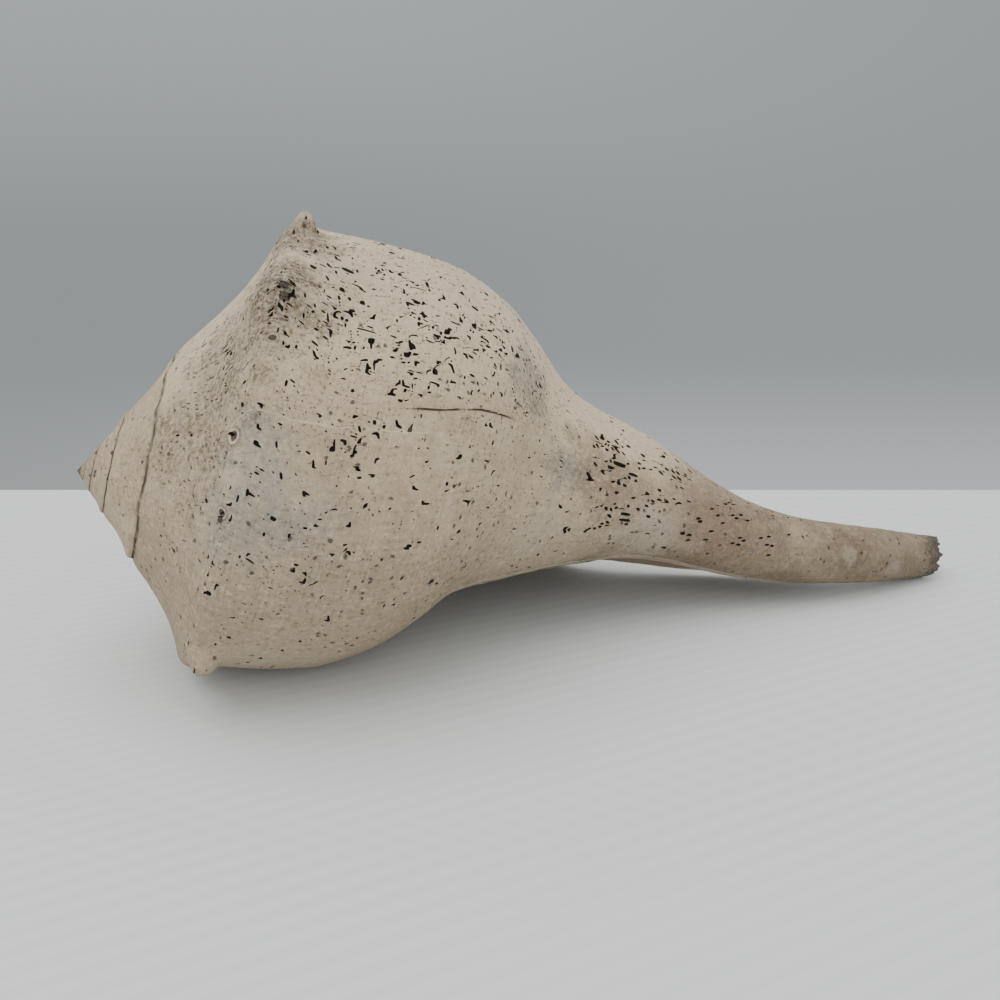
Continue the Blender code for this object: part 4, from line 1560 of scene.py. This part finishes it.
    def dark_lines(self, s: Surface, holes: list[Signal]) -> Signal:
        """A notch along the main old lip, the seam, holes in rings and slits under the neck: dirt, and
        painted shade in these grooves, holes and gaps.
        """
        t = s.tree
        notch = t.line(s.first + 0.25 + s.web, 0.50, 0.15)
        notch = notch * t.ramp(s.row, 3.75, 4.05) * t.ramp(s.row, 6.0, 5.4) * t.ramp(s.uneven, 0.32, 0.46)
        seam = t.ramp(s.to_seam + s.web * 0.30, 0.07, 0.01) * t.ramp(s.uneven, 0.38, 0.55, 0.3, 1.0)
        strip = t.noise(t.combine(s.turn * 90.0, s.row * 2.2, 0.0), 1.0, 3.0, 0.6)
        slit = t.stripes(s.arch * 0.17 + (strip - 0.5) * 0.8, 0.13, 0.05) * t.ramp(strip, 0.42, 0.55)
        slit = slit * self.under_neck(s) * t.ramp(s.arch, 1.5, -0.5) * t.ramp(s.arch, -26.0, -18.0)
        return t.most(notch, seam * 0.95, t.most(*holes) * 0.85, slit * 0.8)

    def dots(self, s: Surface) -> Signal:
        """Dark specks of two sizes, the smaller ones fainter: tiny pits, dark with dirt and with painted
        shade inside them.
        """
        names = ("Scale", "Amount", "Patchiness")
        fine, tiny = (
            Effect.SPECKS.add(s.tree, {"Place": s.place} | dict(zip(names, values))) for values in self.specks
        )
        return s.tree.most(fine, tiny * 0.7)

    def material(self) -> bpy.types.Material:
        """The finish as a material."""
        made, t, shader = new_material(SLOT)
        s = Surface.of(t)
        coat = self.ground(s)
        rough = t.most(*(self.mask(s, stain) for stain in self.rough))
        lines = Effect.GROWTH.add(t, {"Coil": s.coiled, "Place": s.place})
        relief = lines * 0.45 + (s.grain - 0.5) * (1.1 + rough * 1.6)
        pale = (0.55 + rough * 0.25) * t.ramp(s.row, 7.6, 9.2, 1.0, 0.45)
        coat.lay(t.ramp(relief, 0.02, 0.19) * pale, self.ridge)
        coat.lay(t.ramp(relief, -0.03, -0.22) * (0.58 + rough * 0.15), self.dirt)
        hatching = self.hatching(s)
        coat.lay(hatching * 0.8, self.crack)
        worn = [(*self.ring(s, *place), strength) for *place, strength in self.rings]
        light = self.pale_lines(s, [rim * strength for rim, _, strength in worn])
        coat.lay(light, self.ridge)
        cracks = self.dark_lines(s, [hole for _, hole, _ in worn])
        coat.lay(cracks, self.crack)
        coat.lay(t.ramp(s.row + (s.grain - 0.5) * 2.4, 11.55, 11.85) * 0.8, self.end)
        dots = self.dots(s)
        coat.lay(dots * 0.8, self.speck)
        t.feed(shader.inputs["Base Color"], coat.colour)
        t.feed(shader.inputs["Roughness"], self.roughness)
        height = relief - dots * 0.6 - hatching * 0.3 - cracks * 0.8 + light * 0.35
        bump = t.get("ShaderNodeBump", {"Strength": 1.0, "Distance": self.bump, "Height": height})
        t.feed(shader.inputs["Normal"], bump)
        return made


@dataclass(frozen=True)
class Plain:
    """A rough finish of one slightly uneven colour."""

    name: str
    colour: Colour
    other: Colour
    roughness: float
    scale: float

    def material(self) -> bpy.types.Material:
        """The finish as a material."""
        made, t, shader = new_material(self.name)
        place = t.get("ShaderNodeTexCoord", output="Object")
        uneven = t.ramp(t.noise(place, self.scale, 4.0), 0.3, 0.7)
        t.feed(shader.inputs["Base Color"], t.mix(uneven, srgb(*self.colour), srgb(*self.other)))
        t.feed(shader.inputs["Roughness"], self.roughness)
        return made


def new_material(name: str) -> tuple[bpy.types.Material, Tree, bpy.types.Node]:
    """A new material, its tree and its Principled shader."""
    made = bpy.data.materials.new(name)
    made.use_nodes = True
    return made, Tree(made.node_tree), made.node_tree.nodes["Principled BSDF"]


# The studio


@dataclass(frozen=True)
class Studio:
    """The table, the backdrop, the lights and the camera."""

    eye: Vector3 = (-0.078509, -0.266673, 0.111330)
    pitch: float = 73.759
    yaw: float = -13.125
    side: float = 1.6  # half the table's side, and the height of the backdrop
    backdrop_away: float = 0.397
    world: float = 1.22
    aim: Vector3 = (0.0, 0.0, 0.03)
    lamps: tuple[tuple[str, float, float, Vector3], ...] = (  # name, watts, size, place
        ("key", 3.9, 0.9, (-0.24, -0.10, 0.80)),
        ("fill", 2.2, 0.8, (-0.10, -0.95, 0.36)),
    )
    rib: float = 0.00475
    plastic: tuple[Colour, Colour] = ((199, 202, 201), (204, 207, 206))
    # Left and right colours of the backdrop, from the table up: painted light, how brightly the pale sheet is
    # lit at each place.
    foot: tuple[Colour, Colour] = ((166, 170, 170), (194, 197, 199))
    card: tuple[Colour, Colour] = ((152, 156, 158), (157, 162, 164))
    high: tuple[Colour, Colour] = ((177, 182, 183), (161, 166, 168))

    def camera(self) -> None:
        """Sets the camera, with a focal length as long as its sensor is wide."""
        data = bpy.data.cameras.new("camera")
        data.lens = data.sensor_width
        data.clip_start = 0.01
        camera = bpy.data.objects.new("camera", data)
        camera.location = self.eye
        camera.rotation_euler = (math.radians(self.pitch), 0.0, math.radians(self.yaw))
        bpy.context.scene.collection.objects.link(camera)
        bpy.context.scene.camera = camera

    def sheet(self, name: str, corners: list[Vector3], finish: bpy.types.Material) -> bpy.types.Object:
        """A flat four-cornered sheet of the studio."""
        mesh = bpy.data.meshes.new(name)
        mesh.from_pydata(corners, [], [(0, 1, 2, 3)])
        mesh.materials.append(finish)
        made = new_object(mesh)
        return made

    def table_material(self) -> bpy.types.Material:
        """Pale plastic with fine parallel ribs."""
        made, t, shader = new_material("table")
        place = t.get("ShaderNodeTexCoord", output="Object")
        yaw = {"Vector": place, "Angle": math.radians(self.yaw)}
        across = t.split(t.get("ShaderNodeVectorRotate", yaw, rotation_type="Z_AXIS"))[1]
        # The ribs are painted as faint stripes of light and shade on a flat sheet.
        rib = t.math("SINE", across * (math.tau / self.rib))
        shade = t.ramp(rib * t.noise(place, 9.0, 1.0), -0.7, 0.7)
        t.feed(shader.inputs["Base Color"], t.mix(shade, *(srgb(*colour) for colour in self.plastic)))
        t.feed(shader.inputs["Roughness"], 0.65)
        t.feed(shader.inputs["Specular IOR Level"], 0.2)
        return made

    def backdrop_material(self) -> bpy.types.Material:
        """Grey card, which gives its own light."""
        made, t, shader = new_material("backdrop")
        x, _, height = t.split(t.get("ShaderNodeTexCoord", output="Object"))

        def across(start: float, end: float, colours: tuple[Colour, Colour]) -> Signal:
            """A colour that changes from left to right."""
            return t.mix(t.ramp(x, start, end), *(srgb(*colour) for colour in colours))

        foot, card = across(-0.20, 0.05, self.foot), across(-0.10, 0.10, self.card)
        low = t.mix(t.ramp(height, -0.005, 0.062), foot, card)
        colour = t.mix(t.ramp(height, 0.085, 0.19), low, across(-0.05, 0.25, self.high))
        t.feed(shader.inputs["Emission Color"], colour)
        t.feed(shader.inputs["Emission Strength"], 1.0)
        t.feed(shader.inputs["Base Color"], (0.0, 0.0, 0.0, 1.0))
        t.feed(shader.inputs["Specular IOR Level"], 0.0)
        return made

    def lights(self) -> None:
        """Even light from all round, and large soft lamps above and in front."""
        world = bpy.data.worlds.new("room")
        world.use_nodes = True
        background = world.node_tree.nodes["Background"]
        background.inputs["Color"].default_value = (1.0, 1.0, 1.0, 1.0)
        background.inputs["Strength"].default_value = self.world
        bpy.context.scene.world = world
        for name, watts, size, place in self.lamps:
            data = bpy.data.lights.new(name, "AREA")
            data.shape = "DISK"
            data.size = size
            data.energy = watts
            lamp = bpy.data.objects.new(name, data)
            lamp.location = place
            lamp.rotation_euler = (Vector(self.aim) - lamp.location).to_track_quat("-Z", "Y").to_euler()
            bpy.context.scene.collection.objects.link(lamp)

    def build(self) -> None:
        """Sets up the whole studio."""
        self.camera()
        self.lights()
        side = self.side
        square = [(-side, -side, 0), (side, -side, 0), (side, side, 0), (-side, side, 0)]
        self.sheet("table", square, self.table_material())
        turned = Matrix.Rotation(math.radians(self.yaw), 3, "Z")
        foot = Vector((self.eye[0], self.eye[1], 0.0)) + turned @ Vector((0.0, self.backdrop_away, 0.0))
        across, up = turned @ Vector((side, 0.0, 0.0)), Vector((0.0, 0.0, side))
        corners = [foot - across, foot + across, foot + across + up, foot - across + up]
        drop = self.sheet("backdrop", [tuple(corner) for corner in corners], self.backdrop_material())
        drop.visible_shadow = drop.visible_diffuse = drop.visible_glossy = drop.visible_transmission = False


# Inside of the borings: dirt, made darker still as painted shade deep in the holes.
BORING_DIRT_AND_SHADE = Plain("boring_dirt_and_shade", (62, 54, 46), (38, 33, 29), 0.95, 300.0)
LINING = Plain("mouth_lining", (150, 132, 112), (172, 152, 128), 0.7, 60.0)
BORING_SEED = 7
SHARP_ANGLE = 50
SPINES = (
    Spine(85.0, 2.16, 0.0046, 0.0023, 1.0),
    Spine(-40.0, 2.14, 0.0044, 0.0036, -2.0),
    Spine(185.0, 2.10, 0.0072, 0.0042, -4.0),
    Spine(135.0, 2.15, 0.0036, 0.0042, -4.0),
)


def build_shell() -> bpy.types.Object:
    """Builds the shell and gives it its finishes."""
    coil = Coil()
    chalk = Chalk(coil).material()
    dark, mouth = BORING_DIRT_AND_SHADE.material(), LINING.material()
    mesh = Skin(coil).build(Borings(BORING_SEED))
    tree = spine_tree()
    for spine in SPINES:
        mesh = spine.grow(mesh, coil, tree)
    weathering = Weathering()
    mesh = weathering.wear(mesh, chalk)
    hollow = Hollow(coil)
    cutters = [hollow.chamber(mouth), hollow.canal_gutter(mouth), hollow.ground(chalk)]
    mesh = cut(mesh, cutters, NODE)
    mesh = weathering.bore(mesh, dark)
    mesh.name = "whelk"
    mesh.shade_smooth()
    mesh.set_sharp_from_angle(angle=math.radians(SHARP_ANGLE))
    mesh.calc_loop_triangles()
    log.info("shell: %d triangles", len(mesh.loop_triangles))
    shell = new_object(mesh)
    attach(shell, "root")
    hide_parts(NODE)
    return shell


def main() -> None:
    """Builds the shell and its studio."""
    logging.basicConfig(level=logging.INFO, format="%(name)s: %(message)s")
    build_shell()
    Studio().build()


if __name__ == "__main__":
    main()
